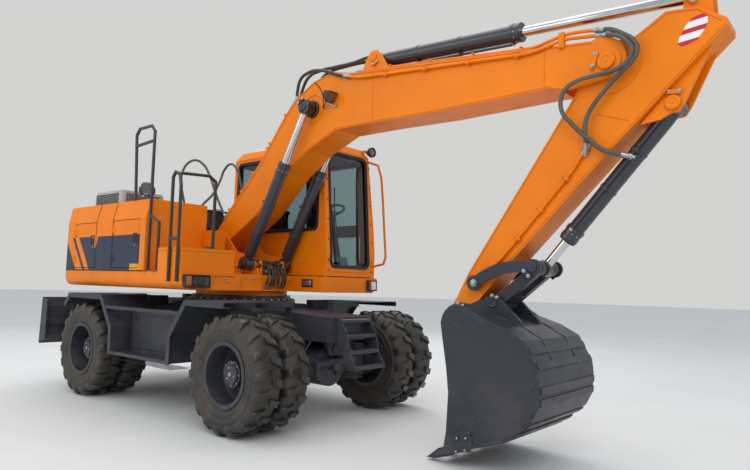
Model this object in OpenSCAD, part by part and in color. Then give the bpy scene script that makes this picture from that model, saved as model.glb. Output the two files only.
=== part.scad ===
// Wheeled excavator on twin tyres, parked with its bucket just off the ground.
// X runs forwards, Y to the left, Z up. Sections are drawn from the slewing axis and then
// moved so that the origin is on the ground, midway along and across the machine.

/* [Wheels] */
// Radius of a tyre over its lugs
tyre_r = 530; // [500:5:560]
// Width of one tyre
tyre_w = 274; // [250:2:290]
// Distance between the two tyres of a twin wheel
twin_pitch = 320; // [310:2:340]
// Distance from the centre line to the middle of an outer tyre
outer_y = 1100; // [1080:2:1110]
// Lugs on each half of a tread
lug_count = 18; // [14:1:24]
// Height of a lug
lug_h = 28; // [18:1:34]
// Width of a lug
lug_w = 74; // [60:2:84]
// Radius of the rim where the tyre sits
rim_r = 266; // [250:1:280]
// Radius of the rim's edge
flange_r = 292; // [288:1:310]
// Distance between the axles
wheelbase = 2700; // [2600:10:2800]
// Radius of the planetary hub drum
drum_r = 126; // [110:2:140]

/* [Axles] */
// Distance from the centre line to a king pin
king_y = 560; // [550:2:570]
// Radius of a king pin
king_r = 28; // [24:1:34]
// Radius of the axle tube
axle_tube_r = 92; // [80:2:105]
// Radius of the differential housing
diff_r = 205; // [180:5:215]
// Radius of the wheel spindle
spindle_r = 60; // [50:1:70]

/* [Undercarriage] */
// Half width of the chassis beams
beam_y = 290; // [260:5:300]
// Top of the chassis beams
beam_top = 1030; // [1000:5:1050]
// Depth of the chassis beams
beam_h = 240; // [200:5:260]
// Height of the fender tops
fender_z = 1160; // [1140:5:1190]
// Height of the side steps
step_z = 540; // [500:5:600]
// Thickness of the fender plate
fender_t = 10; // [8:1:14]
// Outer face of the fenders and side steps
fender_y = 1232; // [1220:1:1240]

/* [Dozer blade] */
// Width of the blade
blade_w = 2500; // [2400:10:2520]
// Height of the blade
blade_h = 555; // [500:5:600]
// Height of the blade's lower edge when raised
blade_lift = 517; // [500:1:560]
// Length of the blade links between pins
blade_link = 620; // [600:5:640]
// Upward tilt of the links when the blade is raised
blade_tilt = 27; // [20:1:30]

/* [Upper structure] */
// Underside of the turntable deck
deck_z = 1250; // [1240:5:1290]
// Depth of the deck
deck_h = 175; // [150:5:200]
// Half width of the deck and the hood
house_y = 1200; // [1150:5:1220]
// Distance from the slewing axis to the tail
tail_x = 2140; // [2000:10:2200]
// Top of the hood
hood_top = 2190; // [2150:5:2260]
// Height of the hood's shoulder
shoulder_z = 1995; // [1900:5:2000]
// Front face of the hood beside the boom
hood_x = -105; // [-140:5:-100]
// Thickness of the hood's walls
hood_t = 22; // [16:1:30]
// Radius of the handrail tube
rail_r = 17; // [14:1:20]

/* [Cab] */
// Rear face of the cab
cab_x0 = -700; // [-720:5:-680]
// Front face of the cab
cab_x1 = 1010; // [980:5:1030]
// Right face of the cab, beside the boom
cab_y0 = 352; // [350:1:370]
// Left face of the cab
cab_y1 = 1190; // [1150:5:1195]
// Top of the cab
cab_top = 3060; // [3000:5:3100]
// Thickness of the cab's walls and door
cab_t = 46; // [36:1:56]
// Gap round the door
door_gap = 7; // [5:1:10]
// Thickness of the glass
glass_t = 6; // [5:1:8]

/* [Boom] */
// Half width of the boom
boom_y = 175; // [165:1:178]
// Thickness of the boom and arm plates
plate_t = 14; // [10:1:20]
// Radius of the main pins
pin_r = 45; // [38:1:50]
// Running clearance round a pin
fit = 0.3; // [0.1:0.05:0.5]

/* [Arm and bucket] */
// Half width of the arm
arm_y = 140; // [130:1:150]
// Half width of the bucket
bucket_y = 500; // [450:5:520]
// Thickness of the bucket's plates
bucket_t = 22; // [16:1:30]
// Number of bucket teeth
teeth = 5; // [3:1:7]

/* [Cylinders] */
// Radius of a boom cylinder
boom_cyl_r = 58; // [50:1:60]
// Distance from the centre line to a boom cylinder
boom_cyl_y = 272; // [268:1:275]
// Radius of the arm cylinder
arm_cyl_r = 72; // [60:1:80]
// Radius of the bucket cylinder
bucket_cyl_r = 62; // [55:1:70]

/* [Hidden] */
$fn = 48;

// Foremost and rearmost reach from the slewing axis, and the origin midway between them
reach_front = 5065;
axle_x = wheelbase / 2;
reach_rear = axle_x + 1082.4;
origin_x = (reach_front - reach_rear) / 2;
inner_y = outer_y - twin_pitch;
rim_half = 110;
// The plane where the two wheel discs of a twin bolt together
disc_y = (outer_y + inner_y) / 2;

// Pin centres, as [x, z] in the plane of the boom
foot_p = [-250, 1820];
boom_cyl_foot = [400, 1545];
boom_cyl_head = [1270, 3150];
arm_cyl_foot = [2020, 3560];
arm_p = [4300, 3010];
arm_cyl_head = [4880, 3400];
bucket_cyl_foot = [4722, 2652];
side_link_p = [3235, 1390];
knee_p = [3750, 1515];
link_p = [3400, 1230];
bucket_p = [3085, 1150];

// Blade linkage: lower and upper pins on the chassis, then the same two on the blade
blade_lo = [-axle_x - 290, 500];
blade_pitch = 190;
blade_dx = -blade_link * cos(blade_tilt);
blade_dz = blade_link * sin(blade_tilt);
blade_lo_end = blade_lo + [blade_dx, blade_dz];
blade_cyl_foot = [-axle_x - 422, 1000];
blade_cyl_head = blade_lo + 0.3 * [blade_dx, blade_dz];
blade_cyl_y = 155;

// Steering arm pin, from the king pin, to the rear and inwards
tie_dx = -175;
tie_dy = -45;

function unit(v) = v / norm(v);
function left_of(v) = [-v[1], v[0]];
// A closed outline, anticlockwise, moved inwards by d
function inset(p, d) = [for (i = [0:len(p) - 1])
  let (a = p[(i + len(p) - 1) % len(p)], b = p[i], c = p[(i + 1) % len(p)],
       m = left_of(unit(b - a)), n = left_of(unit(c - b)))
  b + d * (m + n) / (1 + m * n)];
// An open line of points moved to its left by d
function beside(p, d) = [for (i = [0:len(p) - 1])
  let (a = i > 0 ? unit(p[i] - p[i - 1]) : unit(p[1] - p[0]),
       c = i < len(p) - 1 ? unit(p[i + 1] - p[i]) : a,
       m = left_of(a), n = left_of(c))
  p[i] + d * (m + n) / (1 + m * n)];
function reversed(p) = [for (i = [len(p) - 1:-1:0]) p[i]];
// A band of thickness d along an open line
function band(p, d) = concat(p, reversed(beside(p, d)));

module placed() translate([-origin_x, 0, 0]) children();
module both_sides() {
  children();
  mirror([0, 1, 0]) children();
}
// A flat shape drawn as x and z, filling the stretch from y_lo to y_hi
module slab(y_lo, y_hi) {
  translate([0, y_hi, 0]) rotate([90, 0, 0]) linear_extrude(height = y_hi - y_lo) children();
}
// A flat shape drawn as y and z, filling the stretch from x_lo to x_hi
module slab_x(x_lo, x_hi) {
  translate([x_lo, 0, 0]) rotate([90, 0, 90]) linear_extrude(height = x_hi - x_lo) children();
}
module pin(p, r, y_lo, y_hi) {
  translate([p[0], y_hi, p[1]]) rotate([90, 0, 0]) cylinder(r = r, h = y_hi - y_lo);
}
module box(lo, hi) translate(lo) cube(hi - lo);
// A straight round bar between two points
module bar(a, b, r) {
  v = b - a;
  translate(a) rotate([0, acos(v[2] / norm(v)), atan2(v[1], v[0])]) cylinder(r = r, h = norm(v));
}
// A bent tube along a few points with balls at its bends
module tube(points, r) {
  for (i = [0:len(points) - 2]) bar(points[i], points[i + 1], r);
  for (i = [1:len(points) - 2]) translate(points[i]) sphere(r = r + 0.5);
}
module rounded(w, h, r) {
  translate([r, 0]) square([w - 2 * r, h]);
  translate([0, r]) square([w, h - 2 * r]);
  for (x = [r, w - r], y = [r, h - r]) translate([x, y]) circle(r = r);
}

// WHEELS, turned about their own axis and then laid across the machine

module tyre_ring() {
  bead = rim_r + fit;
  rotate_extrude($fn = 72) polygon([
    [bead, -rim_half + 4], [flange_r + 6, -rim_half + 2], [flange_r + 30, -tyre_w / 2 + 12],
    [0.78 * tyre_r, -tyre_w / 2], [0.86 * tyre_r, -tyre_w / 2 + 4], [tyre_r - lug_h - 14, -tyre_w / 2 + 18],
    [tyre_r - lug_h, -tyre_w / 2 + 42], [tyre_r - lug_h, tyre_w / 2 - 42], [tyre_r - lug_h - 14, tyre_w / 2 - 18],
    [0.86 * tyre_r, tyre_w / 2 - 4], [0.78 * tyre_r, tyre_w / 2],
    [flange_r + 30, tyre_w / 2 - 12], [flange_r + 6, rim_half - 2], [bead, rim_half - 4]]);
}
// A lug on one half of the tread, slanted
lug_slant = 22;
module lug() {
  reach = (tyre_w / 2 - 1) / cos(lug_slant) - lug_w / 2 * tan(lug_slant);
  low = tyre_r - lug_h;
  rotate([lug_slant, 0, 0]) translate([0, lug_w / 2, 0]) rotate([90, 0, 0]) linear_extrude(height = lug_w)
    polygon([[low - 12, 6], [tyre_r, 6], [tyre_r - 5, reach - 34], [low - 6, reach - 8], [low - 52, reach],
      [low - 66, reach - 14], [low - 22, reach - 40]]);
}
module tyre() {
  tyre_ring();
  for (i = [0:lug_count - 1]) rotate([0, 0, i * 360 / lug_count]) {
    lug();
    rotate([0, 0, 180 / lug_count]) mirror([0, 0, 1]) lug();
  }
}
module tyre_pair(x) {
  color("#242424") for (y = [inner_y, outer_y]) translate([x, y, tyre_r]) rotate([-90, 0, 0]) tyre();
}
// One rim: a barrel with an edge at each side and a dish that runs to the bolting plane
module rim_section(mid, dish) {
  lip = 12;
  wall = 10;
  s = sign(dish - mid);
  polygon([[rim_r - wall, mid - rim_half - lip / 2], [flange_r, mid - rim_half - lip / 2],
    [flange_r, mid - rim_half + 2], [rim_r, mid - rim_half + 3], [rim_r, mid + rim_half - 3],
    [flange_r, mid + rim_half - 2], [flange_r, mid + rim_half + lip / 2],
    [rim_r - wall, mid + rim_half + lip / 2]]);
  polygon([[rim_r - wall + 1, mid + s * 70], [rim_r - wall + 1, mid + s * 92],
    [rim_r - 60, dish], [drum_r - 4, dish], [drum_r - 4, dish - s * 14], [rim_r - 66, dish - s * 14]]);
}
module rim_pair(x) {
  hub_in = king_y + 95;
  color("#2f3440") translate([x, 0, tyre_r]) rotate([-90, 0, 0]) rotate_extrude($fn = 72) {
    rim_section(outer_y, disc_y + 7);
    rim_section(inner_y, disc_y - 7);
    difference() {
      union() {
        translate([0, hub_in]) square([drum_r + 22, disc_y - 21 - hub_in]);
        translate([0, disc_y - 22]) square([drum_r, 46]);
        translate([0, disc_y + 20]) square([drum_r - 8, outer_y + 25 - disc_y - 20]);
        translate([0, outer_y + 20]) square([drum_r - 36, 22]);
      }
      translate([-1, hub_in - 1]) square([spindle_r + fit + 1, 160]);
    }
  }
}
module tyre_fl() tyre_pair(axle_x);
module tyre_fr() mirror([0, 1, 0]) tyre_pair(axle_x);
module tyre_rl() tyre_pair(-axle_x);
module tyre_rr() mirror([0, 1, 0]) tyre_pair(-axle_x);
module rim_fl() rim_pair(axle_x);
module rim_fr() mirror([0, 1, 0]) rim_pair(axle_x);
module rim_rl() rim_pair(-axle_x);
module rim_rr() mirror([0, 1, 0]) rim_pair(-axle_x);

// AXLES AND KNUCKLES

yoke_gap = 143;
module axle_core(x, end) {
  translate([x, 0, tyre_r]) {
    rotate([90, 0, 0]) cylinder(r = axle_tube_r, h = 2 * end, center = true);
    rotate([0, 90, 0]) cylinder(r = diff_r, h = 240, center = true);
    rotate([0, 90, 0]) cylinder(r = 46, h = 440, center = true);
    for (s = [-1, 1]) translate([0, s * 230, 0]) rotate([s * 90, 0, 0])
      cylinder(r1 = axle_tube_r, r2 = 165, h = 160);
  }
}
module rear_axle() {
  color("#26282e") {
    axle_core(-axle_x, king_y + 20);
    translate([-axle_x, 0, tyre_r]) rotate([90, 0, 0]) {
      for (s = [-1, 1]) translate([0, 0, s * (king_y + 30)]) cylinder(r = 135, h = 100, center = true);
      cylinder(r = spindle_r, h = 2 * (king_y + 240), center = true);
    }
    both_sides() box([-axle_x - 90, 190, tyre_r + 60], [-axle_x + 90, beam_y - 10, beam_top - beam_h]);
  }
}
module front_axle() {
  web = 88;
  color("#26282e") {
    axle_core(axle_x, king_y - 90);
    both_sides() {
      // The web has a notch where the steering arm swings in
      difference() {
        box([axle_x - 75, king_y - 130, tyre_r - yoke_gap - 42], [axle_x + 75, king_y - web, tyre_r + yoke_gap + 42]);
        box([axle_x - 76, king_y - 131, tyre_r - 128], [axle_x - 4, king_y - web + 1, tyre_r - 78]);
      }
      for (z = [tyre_r + yoke_gap + 6, tyre_r - yoke_gap - 42]) {
        box([axle_x - 60, king_y - 130, z], [axle_x + 60, king_y, z + 36]);
        translate([axle_x, king_y, z]) cylinder(r = 60, h = 36);
      }
      translate([axle_x, king_y, tyre_r - yoke_gap - 42]) cylinder(r = king_r, h = 2 * yoke_gap + 84);
    }
    // Steering cylinder across the back of the housing, and the trunnion that carries the chassis
    translate([axle_x + 170, 0, tyre_r + 40]) rotate([90, 0, 0]) cylinder(r = 42, h = 560, center = true);
    for (y = [-150, 150]) box([axle_x + 60, y - 20, tyre_r + 5], [axle_x + 175, y + 20, tyre_r + 60]);
    box([axle_x - 90, -110, tyre_r + 120], [axle_x + 90, 110, beam_top - beam_h - 90]);
    translate([axle_x - 200, 0, beam_top - beam_h - 90]) rotate([0, 90, 0]) cylinder(r = 48, h = 400);
  }
}
module knuckle() {
  color("#2b2e36") difference() {
    union() {
      translate([axle_x, king_y, tyre_r - yoke_gap]) cylinder(r = 68, h = 2 * yoke_gap);
      translate([axle_x, king_y, tyre_r]) rotate([-90, 0, 0]) cylinder(r = 118, h = 88);
      translate([axle_x, king_y, tyre_r]) rotate([-90, 0, 0]) cylinder(r = spindle_r, h = 240);
      // Steering arm, level with the tie rod behind the axle
      hull() {
        translate([axle_x, king_y, tyre_r - 118]) cylinder(r = 46, h = 30, $fn = 32);
        translate([axle_x + tie_dx, king_y + tie_dy, tyre_r - 118]) cylinder(r = 30, h = 30, $fn = 32);
      }
    }
    translate([axle_x, king_y, tyre_r - yoke_gap - 1]) cylinder(r = king_r + fit, h = 2 * yoke_gap + 2);
  }
}
module knuckle_l() knuckle();
module knuckle_r() mirror([0, 1, 0]) knuckle();
module tie_rod() {
  x = axle_x + tie_dx;
  y = king_y + tie_dy;
  z = tyre_r - 118 + 30 + fit;
  color("#4a4d55") {
    translate([x, 0, z + 17]) rotate([90, 0, 0]) cylinder(r = 17, h = 2 * y - 20, center = true);
    for (s = [-1, 1]) translate([x, s * y, z]) cylinder(r = 27, h = 34);
  }
}
// Gearbox under the turntable and the shafts that lead to both axles
module drive_line() {
  z = tyre_r;
  color("#34363c") {
    box([-190, -150, 430], [190, 150, 599.7]);
    translate([-190, 0, z - 20]) rotate([0, -90, 0]) cylinder(r = 60, h = 60);
    translate([190, 0, z - 20]) rotate([0, 90, 0]) cylinder(r = 60, h = 60);
    bar([250, 0, z - 20], [axle_x - 222, 0, z], 34);
    bar([-250, 0, z - 20], [-axle_x + 222, 0, z], 34);
  }
}

// UNDERCARRIAGE

module chassis() {
  beam_low = beam_top - beam_h;
  color("#2a2d36") {
    difference() {
      union() {
        slab(-450, 450) polygon([[-640, 600], [640, 600], [760, 760], [760, 1040], [600, 1110],
          [-600, 1110], [-760, 1040], [-760, 760]]);
        slab(-beam_y, beam_y) polygon([[700, beam_low], [axle_x + 330, beam_low], [axle_x + 390, beam_low + 90],
          [axle_x + 390, beam_top], [700, beam_top + 40]]);
        slab(-beam_y, beam_y) polygon([[-700, beam_low], [-700, beam_top + 40],
          [-axle_x - 370, beam_top], [-axle_x - 370, beam_low], [-axle_x - 330, beam_low]]);
        translate([0, 0, 1100]) cylinder(r = 620, h = 50);
        translate([0, 0, 1140]) cylinder(r = 560, h = 55);
      }
      slab(-450 + 20, 450 - 20) polygon([[-600, 620], [600, 620], [700, 770], [700, 1020], [-700, 1020], [-700, 770]]);
      slab(-beam_y + 20, beam_y - 20) polygon([[650, beam_low + 20], [axle_x + 320, beam_low + 20],
        [axle_x + 370, beam_low + 96], [axle_x + 370, beam_top - 20], [650, beam_top - 20]]);
      slab(-beam_y + 20, beam_y - 20) polygon([[-650, beam_low + 20], [-650, beam_top - 20],
        [-axle_x - 350, beam_top - 20], [-axle_x - 350, beam_low + 20]]);
    }
    // Saddle that holds the front axle's trunnion, in front of and behind it
    for (x = [axle_x - 190, axle_x + 150]) difference() {
      slab_x(x, x + 40) polygon([[-150, beam_low + 1], [-90, beam_low - 150], [90, beam_low - 150], [150, beam_low + 1]]);
      translate([x - 1, 0, beam_low - 90]) rotate([0, 90, 0]) cylinder(r = 48 + fit, h = 42);
    }
    // Brackets for the blade links and their pins at the rear
    both_sides() slab(246, beam_y) polygon([blade_lo + [70, -60], [-axle_x - 150, beam_low + 5],
      [-axle_x - 369, beam_low + 5], blade_lo + [-70, 150], blade_lo + [-70, -60]]);
    pin(blade_lo, 32, -beam_y, beam_y);
    for (s = [-1, 1]) pin(blade_lo + [0, blade_pitch], 26, s > 0 ? 60 : -130, s > 0 ? 130 : -60);
    for (y = [-60, 60]) slab(y - 14, y + 14) polygon([blade_lo + [60, blade_pitch - 30], [-axle_x - 210, beam_low + 30],
      [-axle_x - 369, beam_low + 60], blade_lo + [-50, blade_pitch - 30]]);
    // Lugs and pins that hold the feet of the blade cylinders
    both_sides() {
      slab(182, 204) polygon([[-axle_x - 369, beam_top - 100], [-axle_x - 369, beam_top],
        blade_cyl_foot + [-15, 40], blade_cyl_foot + [-45, 0], blade_cyl_foot + [-15, -40]]);
      pin(blade_cyl_foot, 20, 130, 204);
    }
  }
}
// Fenders over both wheels of a side, the step between them and the box behind the step
module side_step() {
  function rear(low, tip) = [[-axle_x - 490 + tip, 1010 + tip], [-axle_x - 350, fender_z], [-axle_x + 450, fender_z],
    [-axle_x + 700, 820], [-axle_x + 710, low]];
  function front(low) = [[axle_x - 900, low], [axle_x - 895, 820], [axle_x - 635, fender_z],
    [axle_x - 20, fender_z]];
  inner = 470;
  color("#2a2d36") {
    slab(inner + 160, fender_y) polygon(reversed(band(rear(step_z, 0), -fender_t)));
    slab(inner + 160, fender_y) polygon(reversed(band(front(step_z), -fender_t)));
    slab(fender_y - 12, fender_y) polygon(reversed(band(rear(step_z - 12, 15), -55)));
    slab(fender_y - 12, fender_y) polygon(reversed(band(front(step_z - 12), -55)));
    // Step tread and the upper rail between the fenders
    box([-axle_x + 706, 930, step_z - 8], [axle_x - 894, fender_y - 2, step_z + 22]);
    box([-axle_x + 510, fender_y - 40, 1012], [axle_x - 700, fender_y - 6, 1045]);
    // Box for batteries and tools, and the outriggers that tie the side to the chassis
    box([-axle_x + 750, 450.3, 560], [axle_x - 930, 1010, 1000]);
    for (x = [-axle_x + 450, axle_x - 700]) box([x - 30, 450.3, 1046], [x + 80, 700, fender_z - 4]);
    for (x = [-axle_x - 300, axle_x - 200]) {
      box([x - 30, beam_y + 0.3, fender_z - 60], [x + 60, 700, fender_z - 4]);
      box([x - 30, beam_y + 0.3, beam_top - 90], [x + 60, beam_y + 30, fender_z - 30]);
    }
  }
}
module side_step_l() side_step();
module side_step_r() mirror([0, 1, 0]) side_step();
// Two bent cheeks with treads between them, in front of the chassis
module front_ladder() {
  half = 215;
  top = [[axle_x + 200, 1028], [axle_x + 420, 1028], [axle_x + 520, 900], [axle_x + 575, 700],
    [axle_x + 650, 575], [axle_x + 650, 545], [axle_x + 540, 545], [axle_x + 470, 700], [axle_x + 395, 800]];
  color("#2a2d36") {
    difference() {
      both_sides() slab(half - 12, half) polygon(reversed(top));
      box([axle_x + 150, -half - 5, 700], [axle_x + 391, half + 5, 1031]);
    }
    // Columns: front edge x, height
    for (t = [[650, 548], [585, 690], [530, 835], [470, 980]])
      box([axle_x + max(t[0] - 120, 390.3), -half + 6, t[1]], [axle_x + t[0], half - 6, t[1] + 26]);
    box([axle_x + 390.3, -half + 6, 820], [axle_x + 404, half - 6, 1000]);
  }
}

// DOZER BLADE

module blade() {
  x = blade_lo_end[0];
  z0 = blade_lift;
  front = [[x - 205, z0 + blade_h], [x - 150, z0 + blade_h * 0.8], [x - 130, z0 + blade_h * 0.5],
    [x - 165, z0 + blade_h * 0.2], [x - 240, z0]];
  color("#2a2d36") {
    slab(-blade_w / 2, blade_w / 2) polygon(band(front, 24));
    both_sides() {
      slab(blade_w / 2 - 22, blade_w / 2) polygon([[x - 235, z0 + 2], [x - 60, z0 + 60], [x - 60, z0 + blade_h - 30],
        [x - 200, z0 + blade_h]]);
      for (y = [180, 262]) difference() {
        slab(y - 16, y + 16) polygon([[x - 190, z0 + 40], [x - 30, blade_lo_end[1] - 60], [x + 45, blade_lo_end[1] - 40],
          [x + 45, blade_lo_end[1] + 40], [x - 150, z0 + blade_h - 10]]);
        pin(blade_lo_end, 32 + fit, y - 20, y + 20);
      }
      pin(blade_lo_end + [0, blade_pitch], 26, 40, 116);
      slab(25, 53) polygon([[x - 150, blade_lo_end[1] + 100], [x + 40, blade_lo_end[1] + blade_pitch - 40],
        [x + 40, blade_lo_end[1] + blade_pitch + 40], [x - 180, z0 + blade_h - 5]]);
      box([x - 150, 600, z0 + 30], [x - 60, 622, z0 + blade_h - 60]);
      box([x - 150, 900, z0 + 30], [x - 60, 922, z0 + blade_h - 60]);
    }
    box([x - 150, -blade_w / 2 + 5, z0 + 230], [x - 80, blade_w / 2 - 5, z0 + 300]);
  }
}
module link_bar(a, b, r, bore, y_lo, y_hi) {
  v = unit(b - a);
  n = left_of(v) * r * 0.8;
  difference() {
    slab(y_lo, y_hi) {
      translate(a) circle(r = r);
      translate(b) circle(r = r);
      polygon([a - n, b - n, b + n, a + n]);
    }
    if (bore > 0) for (p = [a, b]) pin(p, bore + fit, y_lo - 1, y_hi + 1);
  }
}
module blade_arms() {
  color("#2a2d36") {
    both_sides() {
      difference() {
        link_bar(blade_lo, blade_lo_end, 55, 0, 202, 240);
        pin(blade_lo, 32 + fit, 190, 250);
      }
      pin(blade_lo_end, 32, 160, 285);
      pin(blade_cyl_head, 22, 176, 204);
    }
  }
}
module blade_links() {
  up = [0, blade_pitch];
  color("#2a2d36") both_sides() difference() {
    link_bar(blade_lo + up, blade_lo_end + up, 42, 26, 80, 112);
  }
}

// CYLINDERS, each a barrel on its foot pin and a rod whose eye stands beside its seat

// Length is from the foot pin to the gland, and the eye has its half width and radius
module cyl_barrel(foot, head, y, r, length, eye_w, eye_r, bore_r, rod_r) {
  u = unit(head - foot);
  neck = min(eye_w, r) - 2;
  gland = 90;
  difference() {
    union() {
      pin(foot, eye_r, y - eye_w, y + eye_w);
      translate([foot[0], y, foot[1]]) rotate([0, atan2(u[0], u[1]), 0]) rotate_extrude()
        polygon([[0, eye_r * 0.5], [neck, eye_r * 0.5], [neck, eye_r + 28], [r, eye_r + 36], [r, length - gland],
          [r + 6, length - gland], [r + 6, length], [rod_r + fit, length], [rod_r + fit, eye_r + 50],
          [0, eye_r + 50]]);
    }
    pin(foot, bore_r + fit, y - eye_w - 1, y + eye_w + 1);
  }
}
// The tail is the distance from the foot pin to the rod's inner end at rest
module cyl_rod(foot, head, y, tail, eye_w, eye_r, rod_r) {
  u = unit(head - foot);
  function at(d) = [foot[0] + u[0] * d, y, foot[1] + u[1] * d];
  pin(head, eye_r, y - eye_w, y + eye_w);
  bar(at(tail), at(norm(head - foot) - eye_r * 0.7), rod_r);
}
module blade_barrels() {
  color("#22242a") both_sides()
    cyl_barrel(blade_cyl_foot, blade_cyl_head, blade_cyl_y, 35, 345, 22, 40, 20, 18);
}
module blade_rods() {
  color("silver") both_sides()
    cyl_rod(blade_cyl_foot, blade_cyl_head, blade_cyl_y, 98, 16, 34, 18);
}
boom_cyl_len = 1173;
module boom_barrels() {
  color("#22242a") both_sides()
    cyl_barrel(boom_cyl_foot, boom_cyl_head, boom_cyl_y, boom_cyl_r, boom_cyl_len, 50, 74, 40, 38);
}
module boom_rods() {
  color("silver") both_sides() {
    cyl_rod(boom_cyl_foot, boom_cyl_head, boom_cyl_y, 530, 50, 74, 38);
    pin(boom_cyl_head, 36, boom_y + 32, boom_cyl_y - 49);
  }
}
arm_cyl_len = 1530;
module arm_barrel() {
  color("#22242a") cyl_barrel(arm_cyl_foot, arm_cyl_head, 0, arm_cyl_r, arm_cyl_len, 73, 78, 40, 42);
}
module arm_rod() {
  color("silver") cyl_rod(arm_cyl_foot, arm_cyl_head, 0, 1320, 52, 70, 42);
}
bucket_cyl_len = 1190;
module bucket_barrel() {
  color("#22242a") cyl_barrel(bucket_cyl_foot, knee_p, 0, bucket_cyl_r, bucket_cyl_len, 63, 66, 36, 36);
}
module bucket_rod() {
  color("silver") cyl_rod(bucket_cyl_foot, knee_p, 0, 260, 44, 62, 36);
}

// UPPER STRUCTURE

deck_top = deck_z + deck_h;
tail_r = 2250;
front_right = 600;
front_left = 1045;
bay_y = 500;
notch_x = 540;
module tail_round() cylinder(r = tail_r, h = 4000, $fn = 96);
module deck_plan(d) {
  polygon(inset([[-tail_x, -house_y], [front_right, -house_y], [front_right, -bay_y],
    [notch_x, -bay_y], [notch_x, 250], [front_left, 250], [front_left, house_y], [-tail_x, house_y]], d));
}
// The rounded lower edge of a side, from its face to the underside
skirt_r = 110;
function skirt(s) = [for (a = [0:15:90])
  [s * (house_y - skirt_r + skirt_r * cos(a)), deck_z + skirt_r - skirt_r * sin(a)]];
module deck_body(d) {
  intersection() {
    translate([0, 0, deck_z + d]) linear_extrude(height = deck_h - 2 * d) deck_plan(d);
    slab_x(-tail_x - 1, front_left + 1) polygon(inset(concat(skirt(-1), reversed(skirt(1)),
      [[house_y, deck_top + 1], [-house_y, deck_top + 1]]), d));
    tail_round();
  }
}
module deck() {
  bracket = [[-470, deck_top - 2], [530, deck_top - 2], [470, 1560], [400, 1620], [120, 1690],
    [-110, 1900], [-190, 1935], [-310, 1935], [-370, 1890]];
  color("#ee7d11") {
    difference() {
      deck_body(0);
      deck_body(16);
      // Pocket beside the lamp
      slab_x(front_right - 10, front_right + 5) polygon([[-866, 1285], [-835, 1392], [-560, 1398], [-610, 1285]]);
    }
    translate([0, 0, 1195.5]) cylinder(r = 520, h = deck_z - 1195);
    both_sides() slab(boom_y + 7, boom_y + 27) polygon(bracket);
    box([-470, -boom_y - 8, deck_top - 1], [-380, boom_y + 8, 1760]);
    pin(foot_p, pin_r, -boom_y - 40, boom_y + 40);
    both_sides() pin(boom_cyl_foot, 40, boom_y + 6, boom_cyl_y + 60);
  }
}
module counterweight() {
  color("#2f3440") intersection() {
    slab(-house_y, house_y) polygon([[-tail_x, deck_top + 0.3], [-1760, deck_top + 0.3], [-1760, hood_top],
      [-1960, hood_top], [-2066, 1960], [-tail_x, 1640]]);
    slab_x(-3000, 0) polygon([[house_y, deck_top], [house_y, shoulder_z], [house_y - 50, hood_top + 1],
      [-house_y + 50, hood_top + 1], [-house_y, shoulder_z], [-house_y, deck_top]]);
    tail_round();
  }
}
hood_back = -1755;
hood_plan = [[hood_back, -house_y], [hood_x, -house_y], [hood_x, -460], [-770, -460], [-770, house_y],
  [hood_back, house_y]];
module hood_body(d, low) {
  intersection() {
    slab_x(-3000, 0) polygon(inset([[house_y, low - d], [house_y, shoulder_z], [house_y - 50, hood_top],
      [-house_y + 50, hood_top], [-house_y, shoulder_z], [-house_y, low - d]], d));
    linear_extrude(height = hood_top + 100) polygon(inset(hood_plan, d));
  }
}
// Openings in the hood, as [x from, x to, z from, z to]
engine_door = [-1700, -1175, 1455, 1980];
pump_door = [-790, -225, 1455, 1980];
left_door = [-1700, -830, 1455, 1980];
lid_x = [-1690, -960];
lid_y = [-400, 820];
module door_prism(d, gap, y_lo, y_hi) box([d[0] + gap, y_lo, d[2] + gap], [d[1] - gap, y_hi, d[3] - gap]);
module hood() {
  color("#ee7d11") difference() {
    hood_body(0, deck_top + 0.3);
    hood_body(hood_t, deck_top - 200);
    door_prism(engine_door, 0, -house_y - 5, -house_y + 60);
    door_prism(pump_door, 0, -house_y - 5, -house_y + 60);
    door_prism(left_door, 0, house_y - 60, house_y + 5);
    box([lid_x[0], lid_y[0], hood_top - 60], [lid_x[1], lid_y[1], hood_top + 5]);
  }
}
// Hinge barrels that lie on the frame beside the opening, each with a leaf on the door
hinge_r = 8;
module hinge_leaf(x, y, z) {
  translate([x - 2, y + hinge_r + fit, z]) cylinder(r = hinge_r, h = 70);
  box([x - 2, y + 0.5, z + 2], [x + 50, y + 6, z + 68]);
  box([x + 8, y - 1, z + 2], [x + 50, y + 6, z + 68]);
}
module side_door(d) {
  color("#2f3440") {
    difference() {
      door_prism(d, 6, house_y - hood_t, house_y);
      // Grip of the latch
      box([d[1] - 95, house_y - 12, 1745], [d[1] - 60, house_y + 1, 1795]);
    }
    for (z = [d[2] + 70, d[3] - 140]) hinge_leaf(d[0], house_y, z);
  }
}
module side_door_r() mirror([0, 1, 0]) side_door(engine_door);
module pump_door_r() mirror([0, 1, 0]) side_door(pump_door);
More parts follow.
